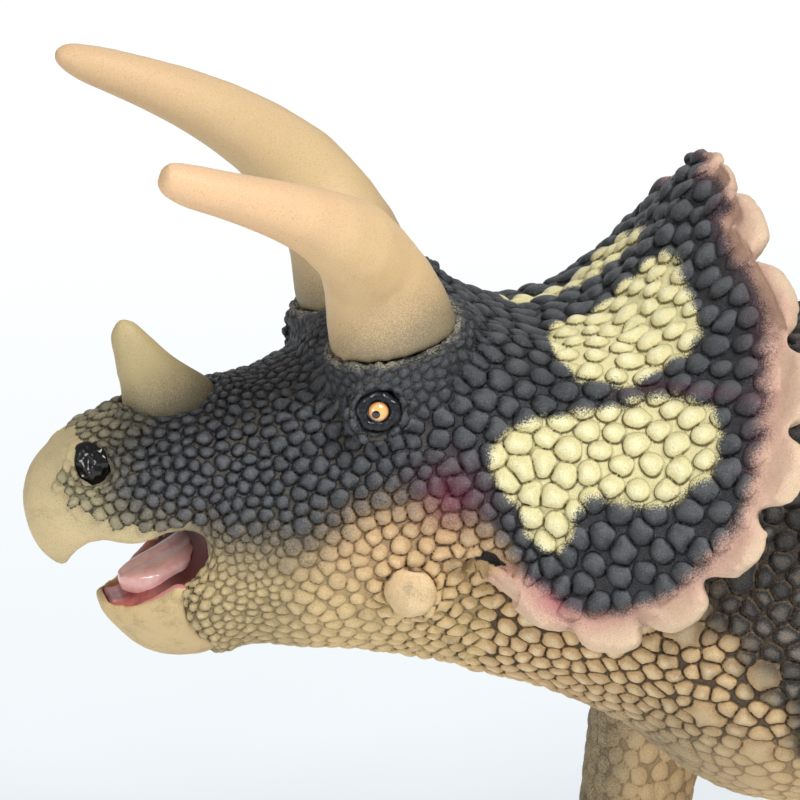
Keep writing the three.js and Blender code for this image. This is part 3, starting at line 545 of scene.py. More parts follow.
def spacingOf(points, fields):
    x, y, z = points.T
    side = np.abs(y)

    def toward(size, kind, share):
        return size + (scales[kind] - size) * share

    size = np.where(x < 30, scales["snout"], scales["cheek"])
    size = toward(size, "temple", blendStep(44, 54, x) * blendStep(76, 84, z))
    size = toward(size, "frill", blendStep(58, 66, x) * blendStep(60, 74, z))
    size = np.where(fields["creamSide"] > 0, scales["patch"], size)
    size = toward(size, "nostril", 1 - blendStep(2.5, 6, around(points, "nostril")))
    size = toward(size, "brow", 1 - blendStep(9, 12, fromBrow(points)))
    crown = (1 - blendStep(4, 9, side)) * blendStep(88, 92, z) * (1 - blendStep(50, 58, x)) * blendStep(18, 24, x)
    size = toward(size, "brow", crown)
    size = np.where(fields["wrinkleSide"] > 0, scales["wrinkles"], size)
    body = np.interp(x, list(bodyScales), [scales[kind] for kind in bodyScales.values()])
    body = toward(body, "leg", 1 - blendStep(34, 44, z))
    body = toward(body, "foot", 1 - blendStep(9, 16, z))
    return np.where(fields["neck"] > 0.5, body, size)


def weightOf(points, fields):
    # how much relief the scales have, from none on horn-like parts to full
    x, y, z = points.T
    side = np.abs(y)
    head, neck = fields["neck"] < 0.5, fields["neck"] > 0.5
    full = blendStep(-0.4, 0.4, -fields["beakSide"]) * (1 - blendStep(-0.6, 1.2, fields["rimSide"]))
    full = full * np.where((side > 14) & head, blendStep(0.7, 1.4, lineTo(points, outline["earCrack"])), 1)
    full = full * np.where(side > 2, blendStep(1.6, 2.6, around(points, "nostril")), 1)
    full = full * np.where(side > 12, blendStep(2.4, 3.4, around(points, "eye")), 1)
    full = full * (0.55 + 0.45 * blendStep(9.5, 11.5, fromBrow(points)))
    jaw = blendStep(18, 24, x) * (1 - blendStep(40, 48, x)) * blendStep(-79, -73, -z)
    full = full * np.where(head, 1 - 0.4 * jaw, 1)
    shank = np.where(neck, blendStep(-52, -42, -z), 0)
    return full * (1 - 0.6 * shank) * blendStep(0.6, 2.2, z)      # none on the soles


def outwardOf(obj, normals):
    # normals evened out over a few millimetres, so that hollows don't pinch the scales
    even = np.stack([spread(obj, column, scales["even"]) for column in normals.T], axis=1)
    return even / np.maximum(np.linalg.norm(even, axis=1), 1e-6)[:, None]


def treeOf(places):
    tree = KDTree(len(places))
    for i, place in enumerate(places):
        tree.insert(place, i)
    tree.balance()
    return tree


say("placing the scales")
clouds = []
outward = {}
for obj in skins:
    points, normals, fields = layOut(obj)
    x, y, z = points.T
    outward[obj.name] = outwardOf(obj, normals)
    lifted = points + outward[obj.name] * scales["lift"]
    mine = z < skin["bellyCut"]
    if obj is frontSkin:
        mine = (x < skin["shoulderCut"]) & (z > skin["bellyCut"])
    elif obj is rearSkin:
        mine = x > skin["shoulderCut"]
    big = (fields["neck"] > 0.5) & (x > 78) & (z > 40)
    columns = (lifted, spacingOf(points, fields), weightOf(points, fields), big)
    clouds.append([column[mine] for column in columns])

cloud, cloudSize, cloudWeight, cloudBig = (np.concatenate(column) for column in zip(*clouds))
dice = np.random.default_rng(figure["seed"])
order = dice.permutation(len(cloud)).tolist()
cloudList = cloud.tolist()
tree = treeOf(cloudList)

# the large scales of the body take their places first, then the rest fill in between them
centres, sizes = [], []
free = bytearray(b"\x01" * len(cloud))
allowBig = cloudBig.tolist()
farFromBig = bytearray(b"\x01" * len(cloud))
for i in order:
    if allowBig[i] and farFromBig[i]:
        centres.append(i)
        sizes.append(scales["bigSize"])
        for hit in tree.find_range(cloudList[i], scales["bigApart"]):
            farFromBig[hit[1]] = 0
            if hit[2] < scales["bigSize"] * 0.5 + scales["bigMargin"]:
                free[hit[1]] = 0
bigCount = len(centres)
sizeList = cloudSize.tolist()
for i in order:
    if free[i]:
        centres.append(i)
        sizes.append(sizeList[i])
        for hit in tree.find_range(cloudList[i], sizeList[i] * scales["apart"]):
            free[hit[1]] = 0
centreSpot = cloud[centres]
centreSize = np.array(sizes) * dice.uniform(1 - scales["vary"], 1 + scales["vary"], len(centres))
for _ in range(scales["settle"]):      # each small scale moves to the middle of what lies nearest to it
    tree = treeOf(centreSpot.tolist())
    owner = np.array([tree.find(place)[1] for place in cloudList])
    count = np.maximum(np.bincount(owner, minlength=len(centreSpot)), 1)
    for k in range(3):
        mean = np.bincount(owner, cloud[:, k], len(centreSpot)) / count
        moved = np.where(count > 1, mean, centreSpot[:, k])
        centreSpot[bigCount:, k] = moved[bigCount:]
tree = treeOf(centreSpot.tolist())
centreTone = dice.random(len(centres))
centreWeight = cloudWeight[centres]
say(f"{len(centres)} scales, {bigCount} of them large")

hornTree = treeOfNodes("left_brow_horn", "right_brow_horn")


def scaleShape(obj, points, fields):
    # finds the scale that each point lies on: its relief and the fields that paint it
    neck, head = fields["neck"] > 0.5, fields["neck"] < 0.5
    x, side = points[:, 0], np.abs(points[:, 1])
    warp = np.stack([lumps(points, scales["warpSize"], seed) for seed in (5, 6, 7)], axis=1) - 0.5
    lifted = points + outward[obj.name] * scales["lift"] + warp * scales["warp"]
    found = [tree.find_n(place, scales["near"]) for place in lifted.tolist()]
    who = np.array([[hit[1] for hit in row] for row in found])
    far = np.array([[hit[2] for hit in row] for row in found])
    ratio = far / centreSize[who]
    rank = np.argsort(ratio, axis=1)
    rows = np.arange(len(points))
    one, two = rank[:, 0], rank[:, 1]
    owner = who[rows, one]
    a, b = ratio[rows, one], ratio[rows, two]
    size = centreSize[owner]
    tone = centreTone[owner]
    loose = blendStep(58, 67, x) * blendStep(0, 1, 1 - fields["neck"])      # frill scales stand apart
    edgeAt = scales["packedEdge"] + (scales["roundEdge"] - scales["packedEdge"]) * loose
    edgeAt = np.where(neck, scales["fleshEdge"], edgeAt)
    edgeAt = edgeAt * (0.94 + 0.12 * tone)
    inward = np.minimum((edgeAt - a) * size, 0.5 * (b - a) * size - scales["groove"])      # in from the edge
    onCheek = ~neck & (side > 14)
    wave = scales["knobWave"] * (lumps(points, scales["warpSize"], 23) - 0.5)
    knobAt = np.where(onCheek, around(points, "knob") + wave, scales["nowhere"])
    onKnob = knobAt < forms["knobRadius"]
    inward = np.where(onKnob, forms["knobRadius"] - knobAt, np.minimum(inward, knobAt - forms["knobRadius"] - 0.1))
    full = np.clip(inward / (edgeAt * size), 0, 1)
    lean = ((lifted - centreSpot[owner]) @ np.array(scales["lowFront"])) / (edgeAt * size)
    lean = np.clip(lean, -scales["leanMost"], scales["leanMost"])      # 1 on the low front side, which stands up most
    steep = blendStep(-0.9, 0.3, lean)
    steep = np.where(neck, 0.6 + 0.4 * steep, steep)
    gone = 1 - full
    shape = (1 - gone ** 2) * (1 - steep) * 0.85 + np.sqrt(1 - gone ** 2.4) * steep
    tall = scales["height"] * np.interp(size, *scales["heightBySize"])
    plain = np.clip(centreWeight[owner], 0, 1)
    plain = np.where(knobAt < forms["knobRadius"] + 1.5, 1, plain)
    lift = np.where(onKnob, 0, size * tall * shape * plain)
    shape = np.where(onKnob, 1, shape)
    lift += scales["border"] * plain * head      # the scaled skin stands above the beak
    blot = 1.1 * (tone - 0.5) + 2.2 * (lumps(points, scales["blotSize"], 17) - 0.5)
    chance = blendStep(-0.9, 1.3, fields["darkSide"] + blot)
    return lift, {
        "crease": np.clip(shape, 0, 1) * plain + (1 - plain) * 0.75, "inward": np.clip(inward, -0.6, 1.2),
        "lean": lean, "scaled": plain, "tone": tone,
        "darkScale": np.where(neck, chance * (0.5 + 0.5 * blendStep(0.1, 0.45, shape)), 0),
    }


folds = {      # the wrinkles and collars round the brow horns, and where the magenta blushes lie
    "fineSize": 0.9, "fine": 0.10, "size": 2.2, "smallSize": 1.1, "fold": 1.1, "flat": 0.3,
    "broken": 0.55, "brokenFrom": (54.4, 56.4), "blushCheek": 3.8, "lowAt": 0.6, "lowWidth": 1.4, "low": 0.55,
    "seam": ([54, 70, 76, 84], [92.4, 93.9, 94.9, 95.8]), "seamWidth": 0.55, "seamShare": 0.3,
    "innerAt": -0.2, "innerWidth": 0.9, "inner": 0.25, "rimBlush": ((62, 4.2), (69.6, 2.6)), "notchWidth": 0.8,
}


def skinFolds(points, fields, normals):
    # the wrinkled collars round the brow horns, the pits, the blushes of paint, and the painted shade in the ear
    # cracks, in the notches of the rim and on the fronts of the shins
    head = fields["neck"] < 0.5
    x, y, z = points.T
    side = np.abs(y)
    fine = lumps(points, folds["fineSize"], 11) - 0.5
    lift = folds["fine"] * fine * (1 - blendStep(-1, 1, fields["beakSide"]))
    fold = np.abs(lumps(points, folds["size"], 12) - 0.5)
    fold = fold + 0.5 * np.abs(lumps(points, folds["smallSize"], 13) - 0.5)
    nearBrow = fromBrow(points)
    rough = np.where(head, 1 - blendStep(10.5, 14, nearBrow), 0)
    lift += folds["fold"] * (fold - folds["flat"]) * rough * blendStep(0.5, 3, side)
    collar = np.zeros(len(points))
    near = np.flatnonzero(head & (nearBrow < 15))
    toHorns = [hornTree.find_nearest(toRow(*points[i]))[3] * 1000 for i in near]
    collar[near] = 1 - blendStep(0.45, 1.1, np.array(toHorns))
    crack = lineTo(points, outline["earCrack"]) + folds["broken"] * blendStep(*folds["brokenFrom"], x)
    # the ear crack is painted near-black where shadow falls in its gap: a painted shadow
    pitPaintAndShadow = 1 - blendStep(0.5, 1.0, crack + 0.5 * (lumps(points, 0.7, 14) - 0.5))
    pit = 1 - blendStep(1.6, 2.6, around(points, "nostril"))
    pitPaintAndShadow = np.where(side > 19, pitPaintAndShadow, np.where(side > 2, pit, 0))
    rimSide = fields["rimSide"]
    blush = hill((around(points, "blushCheek"), folds["blushCheek"])) * (side > 15)
    low = hill((rimSide - folds["lowAt"], folds["lowWidth"])) * (1 - blendStep(62.5, 66, x))
    low = folds["low"] * low * (x > 57) * (z < 80)
    seam = hill((z - np.interp(x, *folds["seam"]), folds["seamWidth"])) * blendStep(66, 76, x)
    seam = seam * (fields["creamSide"] < 0) * folds["seamShare"] * (0.4 + 1.2 * lumps(points, 3, 19))
    inner = hill((rimSide - folds["innerAt"], folds["innerWidth"])) * (z > 88) * folds["inner"]
    (blushX, widthX), (blushZ, widthZ) = folds["rimBlush"]
    front = head & (fields["front"] > 0)
    return lift, {
        # the ear cracks' black is a painted shadow; the nostril pits' black is their paint
        "collar": collar, "pitPaintAndShadow": np.where(head, pitPaintAndShadow, 0),
        # darker on the forward-facing side of the lower legs: painted shade
        "shinShade": blendStep(0.15, 0.85, -normals[:, 0]) * blendStep(-62, -48, -z) * (fields["neck"] > 0.5),
        # darker in the notches between the rim lobes: painted shade
        "notch": hill((toNotch(points), folds["notchWidth"])) * blendStep(0.2, 1.8, rimSide),
        "rimBlush": hill((x - blushX, widthX), (z - blushZ, widthZ)) * front * (side > 15),
        "blush": np.clip(np.where(front, blush + (low + inner) + seam, 0), 0, 1),
    }


def scaleSkin(obj):
    points, normals, fields = layOut(obj)
    raised, scaleFields = scaleShape(obj, points, fields)
    folded, foldFields = skinFolds(points, fields, normals)
    writePoints(obj, hold(points + normals * (raised + folded)[:, None]))
    del fields["neck"], fields["wrinkleSide"]
    for key, values in (fields | scaleFields | foldFields).items():
        writeField(obj, key, values)


for obj in skins:
    scaleSkin(obj)
    say(f"{obj.name} scaled")

# ---- finishes ----


paints = {
    # the top paints lighten the tops of the scales: dry-brushed paint and painted highlight
    "dark": (48, 51, 56), "darkTop": (118, 121, 124), "darkGroove": (6, 5, 7), "darkBetween": (40, 38, 42),
    # near-black for the nostril pits, their own paint, and for the ear cracks, a painted shadow in the gap
    "snoutBetween": (78, 68, 56), "collar": (176, 170, 148), "pitPaintAndShadow": (16, 13, 12),
    # the groove paints darken the grooves round the scales: a dark wash and painted shade
    "tan": (208, 172, 124), "tanTop": (250, 220, 176), "tanGroove": (62, 36, 14),
    "olive": (190, 168, 120), "jaw": (226, 196, 140), "snoutOlive": (160, 152, 118), "stain": (88, 80, 58),
    "cream": (236, 226, 170), "creamTop": (255, 248, 200), "creamGroove": (98, 82, 40),
    # the notch paint darkens the notches between the rim lobes: painted shade
    "rim": (236, 206, 172), "rimPink": (216, 172, 152), "rimShade": (150, 110, 86), "rimNotchShade": (104, 72, 56),
    # the last paint here darkens the mouth towards its back: painted shade
    "rimBlush": (173, 85, 101), "magenta": (136, 42, 74), "throatShade": (84, 28, 27),
    "beak": (228, 204, 154), "beakShade": (194, 178, 136), "lipShade": (116, 108, 84), "lip": (206, 138, 130),
    "bodyTan": (216, 180, 130), "bodyTop": (255, 236, 192), "bodyGroove": (44, 26, 10),
    # the last paint here darkens the forward-facing sides of the lower legs: painted shade
    "bodyDark": (32, 31, 33), "bodyDarkTop": (140, 130, 114), "belly": (224, 192, 144), "shinShade": (88, 86, 70),
    "hornSpeck": (140, 108, 72), "hornGlint": (255, 232, 196), "black": (12, 10, 10), "pupil": (8, 8, 9),
}


def toneOf(paint):
    # a paint's name or its red, green and blue from 0 to 255, for the shader; anything else stays as it is
    paint = paints[paint] if isinstance(paint, str) else paint
    if not isinstance(paint, tuple) or len(paint) != 3:
        return paint
    parts = [part / 255 for part in paint]
    return (*(part / 12.92 if part <= 0.04045 else ((part + 0.055) / 1.055) ** 2.4 for part in parts), 1.0)


class Wire:
    # one value or colour in a material; arithmetic on it adds the maths nodes
    def __init__(self, finish, socket):
        self.finish, self.socket = finish, socket

    def sum(self, kind, first, second):
        return self.finish.node("ShaderNodeMath", {"operation": kind}, {0: first, 1: second})

    def __add__(self, other):
        return self.sum("ADD", self, other)

    def __radd__(self, other):
        return self.sum("ADD", other, self)

    def __sub__(self, other):
        return self.sum("SUBTRACT", self, other)

    def __rsub__(self, other):
        return self.sum("SUBTRACT", other, self)

    def __mul__(self, other):
        return self.sum("MULTIPLY", self, other)

    def __rmul__(self, other):
        return self.sum("MULTIPLY", other, self)


class Finish:
    # one material, built up by node()
    def __init__(self, name, **constants):
        self.material = bpy.data.materials.new(name)
        self.material.use_nodes = True
        self.tree = self.material.node_tree
        self.shader = self.tree.nodes["Principled BSDF"]
        for key, value in constants.items():
            self.shader.inputs[key.replace("_", " ")].default_value = value

    def node(self, kind, settings=None, values=None, out=0):
        made = self.tree.nodes.new(kind)
        for key, value in (settings or {}).items():
            setattr(made, key, value)
        for key, value in (values or {}).items():
            if isinstance(value, Wire):
                self.tree.links.new(value.socket, made.inputs[key])
            else:
                made.inputs[key].default_value = value
        return Wire(self, made.outputs[out])

    def place(self):
        coords = self.node("ShaderNodeTexCoord", out="Object")
        return self.node("ShaderNodeVectorMath", {"operation": "SCALE"}, {0: coords, "Scale": 1000.0})

    def field(self, name):
        return self.node("ShaderNodeAttribute", {"attribute_name": name}, out="Fac")

    def grain(self, place, size, detail=2.0, rough=0.5):
        return self.node("ShaderNodeTexNoise", {}, {"Vector": place, "Scale": 1 / size, "Detail": detail,
                                                    "Roughness": rough})

    def step(self, value, low, high):
        return self.node("ShaderNodeMapRange", {"interpolation_type": "SMOOTHSTEP"},
                         {"Value": value, "From Min": low, "From Max": high})

    def blend(self, paint, *coats):
        # lays coats over a paint; each is a paint and how much of it shows
        for coat, amount in coats:
            colors = {0: amount, 6: toneOf(paint), 7: toneOf(coat)}
            paint = self.node("ShaderNodeMix", {"data_type": "RGBA"}, colors, out=2)
        return paint

    def feed(self, name, wire):
        self.tree.links.new(wire.socket, self.shader.inputs[name])

    def bump(self, height, strength, distance):
        self.feed("Normal", self.node("ShaderNodeBump", {}, {"Height": height, "Strength": strength,
                                                               "Distance": distance / 1000}))


def paintedSkin():
    made = Finish("painted_skin", Roughness=0.5, Specular_IOR_Level=0.45)
    place, step, field, blend = made.place(), made.step, made.field, made.blend
    speck, mottle = made.grain(place, 0.22, 2, 0.6), made.grain(place, 3.5, 3, 0.55)
    fleck, cloudy = speck - 0.5, mottle - 0.5
    crease, tone, scaled, inward, lean = (field(name) for name in ("crease", "tone", "scaled", "inward", "lean"))
    beakSide, rimSide, darkSide = field("beakSide"), field("rimSide"), field("darkSide")
    neck = step(field("neck"), 0.35, 0.65)
    height = made.node("ShaderNodeSeparateXYZ", {}, {0: place}, out="Z")
    along = made.node("ShaderNodeSeparateXYZ", {}, {0: place}, out="X")
    edge = made.node("ShaderNodeMath", {"operation": "ABSOLUTE"}, {0: inward + 0.02})

    # where each scale is lightened on its top (dry-brushed paint and painted highlight) and on its upper side
    # (painted highlight), and darkened in its grooves (a dark wash and painted shade), most on its low front side
    # (painted shadow)
    # top: the raised middle of each scale, where the top paints lighten it: dry-brushed paint and painted highlight
    top = step(crease + fleck * 0.5, 0.62, 1.05)
    # the groove line is darkest on the low front side of each scale, as a painted shadow
    low = step(lean, -0.45, 0.4)
    low = low + (1 - low) * (0.3 + 0.45 * neck)
    # line: the dark groove round each scale, a dark wash and painted shade in the crease
    line = step(edge + fleck * 0.14, 0.19, 0.03) * scaled * low
    # between: the ground between scales; on pale skin it takes the groove paint, a dark wash and painted shade, and
    # on the dark face its own brownish paint
    between = step(inward + fleck * 0.1, 0.06, -0.12) * scaled
    # the upper side of each scale, away from its low front, is lightened as a painted highlight where the light falls
    upperHighlight = step(lean + fleck * 0.9, 0.1, -0.7) * step(inward, 0.08, 0.3) * scaled

    # the pale skin of the face and the body
    faceTan = blend("tan", ("jaw", step(height, 76, 64)), ("olive", step(along + cloudy * 10, -112, -122)),
                    ("snoutOlive", step(along + cloudy * 6, -128, -138)))
    bodyTan = blend("bodyTan", ("belly", step(height + cloudy * 12, 52, 34)))
    # the top paints lighten the tops of the pale scales: dry-brushed paint and painted highlight
    paleTop = blend("tanTop", ("bodyTop", neck), ("olive", step(along, -126, -136) * 0.6))
    # the groove paints darken the ground between scales and the groove lines: a dark wash and painted shade
    paleWashAndShade = blend("tanGroove", ("bodyGroove", neck))
    stained = made.grain(place, 7.5, 3, 0.6)
    pale = blend(faceTan, (bodyTan, neck), (paleTop, top * (0.35 + 0.5 * tone)),
                 ("stain", step(stained + fleck * 0.3, 0.55, 0.72) * 0.5), (paleWashAndShade, between * (0.4 + 0.48 * neck)),
                 # the forward-facing sides of the lower legs are darkened: painted shade
                 (paleWashAndShade, line * 0.9), ("shinShade", field("shinShade") * (0.45 + 0.4 * step(speck, 0.35, 0.65))))

    # the dark paint of the face and of the back
    betweenTone = blend("snoutBetween", ("darkBetween", step(along, -112, -98)))
    # on the dark paint the tops and upper sides are lightened (dry-brushed paint and painted highlight) and the
    # groove lines darkened (a dark wash and painted shade)
    dark = blend("dark", ("darkTop", top * (0.05 + 0.35 * tone) + upperHighlight * 0.45),
                 ("darkTop", top * step(along, -116, -132) * 0.3), (betweenTone, between * 0.75),
                 ("darkGroove", line * 0.9))
    faceMask = step(darkSide + fleck * 1.2 + cloudy * 1.6 + (top - 0.4) * 0.4, -1.3, 1.1)
    # the dark body scales are lighter on their tops: dry-brushed paint and painted highlight
    bodyDark = blend("bodyDark", ("bodyDarkTop", top * (0.12 + 0.85 * tone)))

    # the patches, the rim and the beak
    patch = step(field("creamSide") + fleck * 2.2 + cloudy * 1.2, -0.35, 0.55)
    # the cream scales take lighter tops (dry-brushed paint and painted highlight) and darker groove lines (a dark
    # wash and painted shade)
    cream = blend("cream", ("creamTop", top), ("creamGroove", line * 0.9),
                  ("creamGroove", step(speck, 0.64, 0.76) * 0.35))
    rimMask = step(rimSide + fleck * 2.4 + cloudy * 1.6, -0.6, 1.0)
    rimTone = blend("rimPink", ("rim", step(rimSide + cloudy * 3, 0.3, 3.5)),
                    ("rimShade", step(speck, 0.62, 0.8) * 0.4),
                    ("rimBlush", field("rimBlush") * step(speck + cloudy, 0.2, 0.6) * 0.75))
    beakMask = step(scaled + fleck * 0.3, 0.7, 0.3) * step(beakSide, -3, -1.5)
    beakTone = blend("beak", ("beakShade", step(mottle + fleck * 0.5, 0.5, 0.75) * 0.6),
                     ("beakShade", step(beakSide + fleck * 2, 3.5, 0) * 0.6),
                     ("lipShade", step(along + fleck * 3, -137, -130) * 0.8))

    grit = made.grain(place, 0.13, 1, 0.5)
    color = blend(pale, (dark, faceMask * (1 - neck)), (bodyDark, field("darkScale") * neck),
                  ("bodyDark", step(darkSide, 1.5, 3.5) * neck * 0.4), (cream, patch),
                  ("magenta", field("blush") * step(speck, 0.2, 0.65) * 0.75), (rimTone, rimMask),
                  # darker in the notches between the rim lobes: painted shade
                  ("rimNotchShade", field("notch") * step(speck, 0.2, 0.6) * 0.75), (beakTone, beakMask),
                  ("collar", field("collar") * step(speck + cloudy * 0.4, 0.42, 0.6) * 0.8),
                  # near-black in the ear cracks (painted shadow) and in the nostril pits (their paint)
                  ("pitPaintAndShadow", step(field("pitPaintAndShadow") + fleck * 0.3, 0.3, 0.7)),
                  ((0.01, 0.01, 0.01, 1), step(grit, 0.54, 0.74) * 0.3),
                  ((1, 0.95, 0.85, 1), step(grit, 0.44, 0.26) * 0.1))
    made.feed("Base Color", color)

    gloss = faceMask * (1 - neck) * (1 - patch)
    made.feed("Roughness", 0.6 - 0.14 * top + 0.12 * step(mottle, 0.4, 0.7) - 0.2 * gloss + fleck * 0.34)
    fine = made.grain(place, 0.3, 4, 0.7)
    raised = step(inward, -0.06, 0.12) * scaled
    made.bump(crease * scaled * 0.8 + raised * 0.45 - line * 0.4 + fine * 0.75, 1.0, 0.25)
    return made.material


def hornPaint(name, pale, paleTip, base, reach):
    # reach is how far the dust of the base paint climbs
    made = Finish(name, Roughness=0.46, Specular_IOR_Level=0.42)
    place, step = made.place(), made.step
    speck = made.grain(place, 0.17, 2, 0.65)
    cloudy = made.grain(place, 6, 3, 0.5) - 0.5
    far = made.field("fromBase")
    dust = step(far + (speck - 0.5) * reach * 1.6 + cloudy * 4, reach, reach * -0.1)
    color = made.blend(pale, (paleTip, step(far + cloudy * 8, reach * 1.5, reach * 3)), (base, dust * 0.85),
                       ("hornSpeck", step(speck, 0.56, 0.76) * 0.5), ("hornGlint", step(speck, 0.42, 0.26) * 0.3))
    made.feed("Base Color", color)
    made.feed("Roughness", 0.42 + 0.2 * step(speck, 0.3, 0.8))
    made.bump(made.grain(place, 0.28, 3, 0.65), 0.7, 0.1)
    return made.material


def glossy(name, main, other, rough, size, coat):
    # wet skin that turns darker towards the back of the mouth, a painted shade, and duller there
    made = Finish(name, Roughness=rough, Specular_IOR_Level=0.5, Coat_Weight=coat, Coat_Roughness=0.08)
    place, deep = made.place(), made.field("deep")
    mottle = made.grain(place, size, 3, 0.6)
    # the dark red laid on by depth is a painted shade
    made.feed("Base Color", made.blend(main, (other, made.step(mottle, 0.38, 0.68)), ("throatShade", deep)))
    made.feed("Roughness", rough + 0.35 * deep)
    made.feed("Coat Weight", coat - coat * deep)
    made.bump(made.grain(place, size * 0.5, 2, 0.5), 0.3, 0.1)
    return made.material


skinFinish = paintedSkin()

# ---- the skin is parted into pieces ----


def part(obj, axis, at, slope=0.0):
    # cuts a skin in two closed pieces: the low side and the high side
    pick(obj)
    bpy.ops.object.duplicate()
    other = bpy.context.active_object
    cutAcross(obj, axis, at, "low", slope=slope)
    cutAcross(other, axis, at, "high", slope=slope)
    return obj, other


waiting = []      # finished pieces and the nodes that they replace, once all copies are made


def finishPiece(obj, name, material, slotName, *replaced):
    pick(obj)
    rename(obj, name)
    obj.data.materials.clear()
    obj.data.materials.append(material)
    bpy.ops.object.shade_smooth_by_angle(angle=math.radians(60))
    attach(obj, "root")
    waiting.append((obj, replaced))


cutAcross(frontSkin, 0, skin["shoulderCut"], "low")
cutAcross(frontSkin, 2, skin["bellyCut"], "high")
cutAcross(rearSkin, 0, skin["shoulderCut"], "high")
cutAcross(footSkin, 0, skin["shoulderCut"], "low")
cutAcross(footSkin, 2, skin["bellyCut"], "low")
faceSkin, crest = part(frontSkin, 0, skin["faceCut"])
faceLeft, faceRight = part(faceSkin, 1, 0)
crestLeft, crestRight = part(crest, 1, 0)
neckLeft, frillLeft = part(crestLeft, 2, skin["frillCut"])
neckRight, frillRight = part(crestRight, 2, skin["frillCut"])
frillLeft, crownLeft = part(frillLeft, 2, skin["crownCut"], skin["crownSlope"])
frillRight, crownRight = part(frillRight, 2, skin["crownCut"], skin["crownSlope"])
trunk, tailSkin = part(rearSkin, 0, skin["tailCut"])
limbs, trunk = part(trunk, 2, skin["bellyCut"])
trunkLeft, trunkRight = part(trunk, 1, 0)
foreLimb, hindLimbs = part(limbs, 0, skin["limbCut"])
hindLeft, hindRight = part(hindLimbs, 1, 0)
say("skin parted")

pieces = [
    (faceLeft, "face_skin_left", "skin", "head_with_frill"),
    (faceRight, "face_skin_right", "skin", "head_with_frill"),
    (crownLeft, "crown_skin_left", "skin", "head_with_frill"),
    (crownRight, "crown_skin_right", "skin", "head_with_frill"),
    (frillLeft, "frill_skin_left", "skin", "head_with_frill"),
    (frillRight, "frill_skin_right", "skin", "head_with_frill"),
    (neckLeft, "neck_skin_left", "skin", "head_with_frill", "body_with_neck", "left_foreleg"),
    (neckRight, "neck_skin_right", "skin", "head_with_frill", "body_with_neck", "right_foreleg"),
    (trunkLeft, "trunk_skin_left", "skin", "body_with_neck", "left_foreleg", "left_hindleg"),
    (trunkRight, "trunk_skin_right", "skin", "body_with_neck", "right_foreleg", "right_hindleg"),
    (tailSkin, "tail_skin", "skin", "tail"),
    (foreLimb, "left_foreleg_skin", "limb_skin", "left_foreleg"),
    (hindLeft, "left_hindleg_skin", "limb_skin", "left_hindleg"),
    (hindRight, "right_hindleg_skin", "limb_skin", "right_hindleg"),
    (footSkin, "right_foreleg_skin", "limb_skin", "right_foreleg"),
]
for obj, name, slotName, *replaced in pieces:
    say(f"{name} {sum(len(face.vertices) - 2 for face in obj.data.polygons)} triangles")
    finishPiece(obj, name, skinFinish, slotName, *replaced)

# ---- horns ----

horns = {
    "voxel": 0.5, "rounds": 16, "noseRounds": 8, "tipRounds": 14, "grow": 0.12, "streak": 0.08,
    "rise": (-0.28, 0, 0.96), "frontShare": 0.25, "bendAt": 0.36, "bendWidth": 0.2, "flatAt": 15, "flatWidth": 9,
}


def remeshedNode(node, amount, voxel, rounds):
    # a CAD node as an even mesh, grown and rounded; also its points before the rounding
    obj = copyNode(node, f"{node}_skin")
    if amount:
        grow(obj, amount)
    remesh(obj, voxel)
    obj = largestShell(obj)
    before = readPoints(obj)
    relax(obj, rounds)
    return obj, before


def hornPiece(node, seat, finish, slim=0.0, flat=0.0, bend=0.0, push=(0, 0, 0)):
    rounds = horns["rounds"] if "brow" in node else horns["noseRounds"]
    obj, before = remeshedNode(node, horns["grow"], horns["voxel"], rounds)
    place = np.array(seat)
    far = np.linalg.norm(before - place, axis=1)
    reach = far / far.max()
    relax(obj, horns["tipRounds"], blendStep(0.88, 0.96, reach))
    points = readPoints(obj)      # the point that rounding took off is given back along the horn
    way = before[reach > 0.95].mean(axis=0) - before[(reach > 0.8) & (reach < 0.85)].mean(axis=0)
    way /= np.linalg.norm(way)
    lost = (before @ way).max() - (points @ way).max()
    points += (lost * blendStep(0.7, 1, reach))[:, None] * way + blendStep(0.55, 1, reach)[:, None] * np.array(push)
    points[:, 0] += bend * hill((reach - horns["bendAt"], horns["bendWidth"]))
    writePoints(obj, points)
    subdivide(obj)
    points, normals = readBoth(obj)
    reach = np.linalg.norm(points - place, axis=1) / far.max()
    ahead = seat[0] - points[:, 0]
    far = (points - place) @ np.array(horns["rise"]) + horns["frontShare"] * (ahead > 0) * ahead
    streak = lumps(points * np.array([0.25, 1, 1]), 1.6, 21) - 0.5
    lift = horns["streak"] * streak - slim * blendStep(0.35, 0.6, reach) * (1 - blendStep(0.75, 0.98, reach))
    behind = np.maximum(normals[:, 0], 0)
    lift -= flat * behind * hill((far - horns["flatAt"], horns["flatWidth"]))
    writePoints(obj, hold(points + normals * lift[:, None]))
    writeField(obj, "fromBase", far)
    finishPiece(obj, f"{node}_skin", finish, "horn", node)


browPaint = hornPaint("horn_paint", (234, 200, 150), (234, 194, 150), (82, 86, 76), 11.0)
# the far brow horn takes a darker copy of the horn paint: painted shade
farHornShadedPaint = hornPaint("far_horn_shaded_paint", (216, 186, 138), (222, 186, 142), (76, 80, 70), 13.0)
nosePaint = hornPaint("nose_horn_paint", (190, 172, 126), (202, 176, 130), (66, 66, 58), 7.0)
bx, by, bz = spot["browSeat"]
hornPiece("left_brow_horn", (bx, -by, bz), browPaint, slim=0.4, flat=0.9, push=(-0.1, 0, -0.4))
hornPiece("right_brow_horn", (bx, by, bz), farHornShadedPaint, bend=0.5, push=(0, 0, 0.1))
hornPiece("nose_horn", spot["noseSeat"], nosePaint)
say("horns made")

# ---- the lower beak and the mouth ----

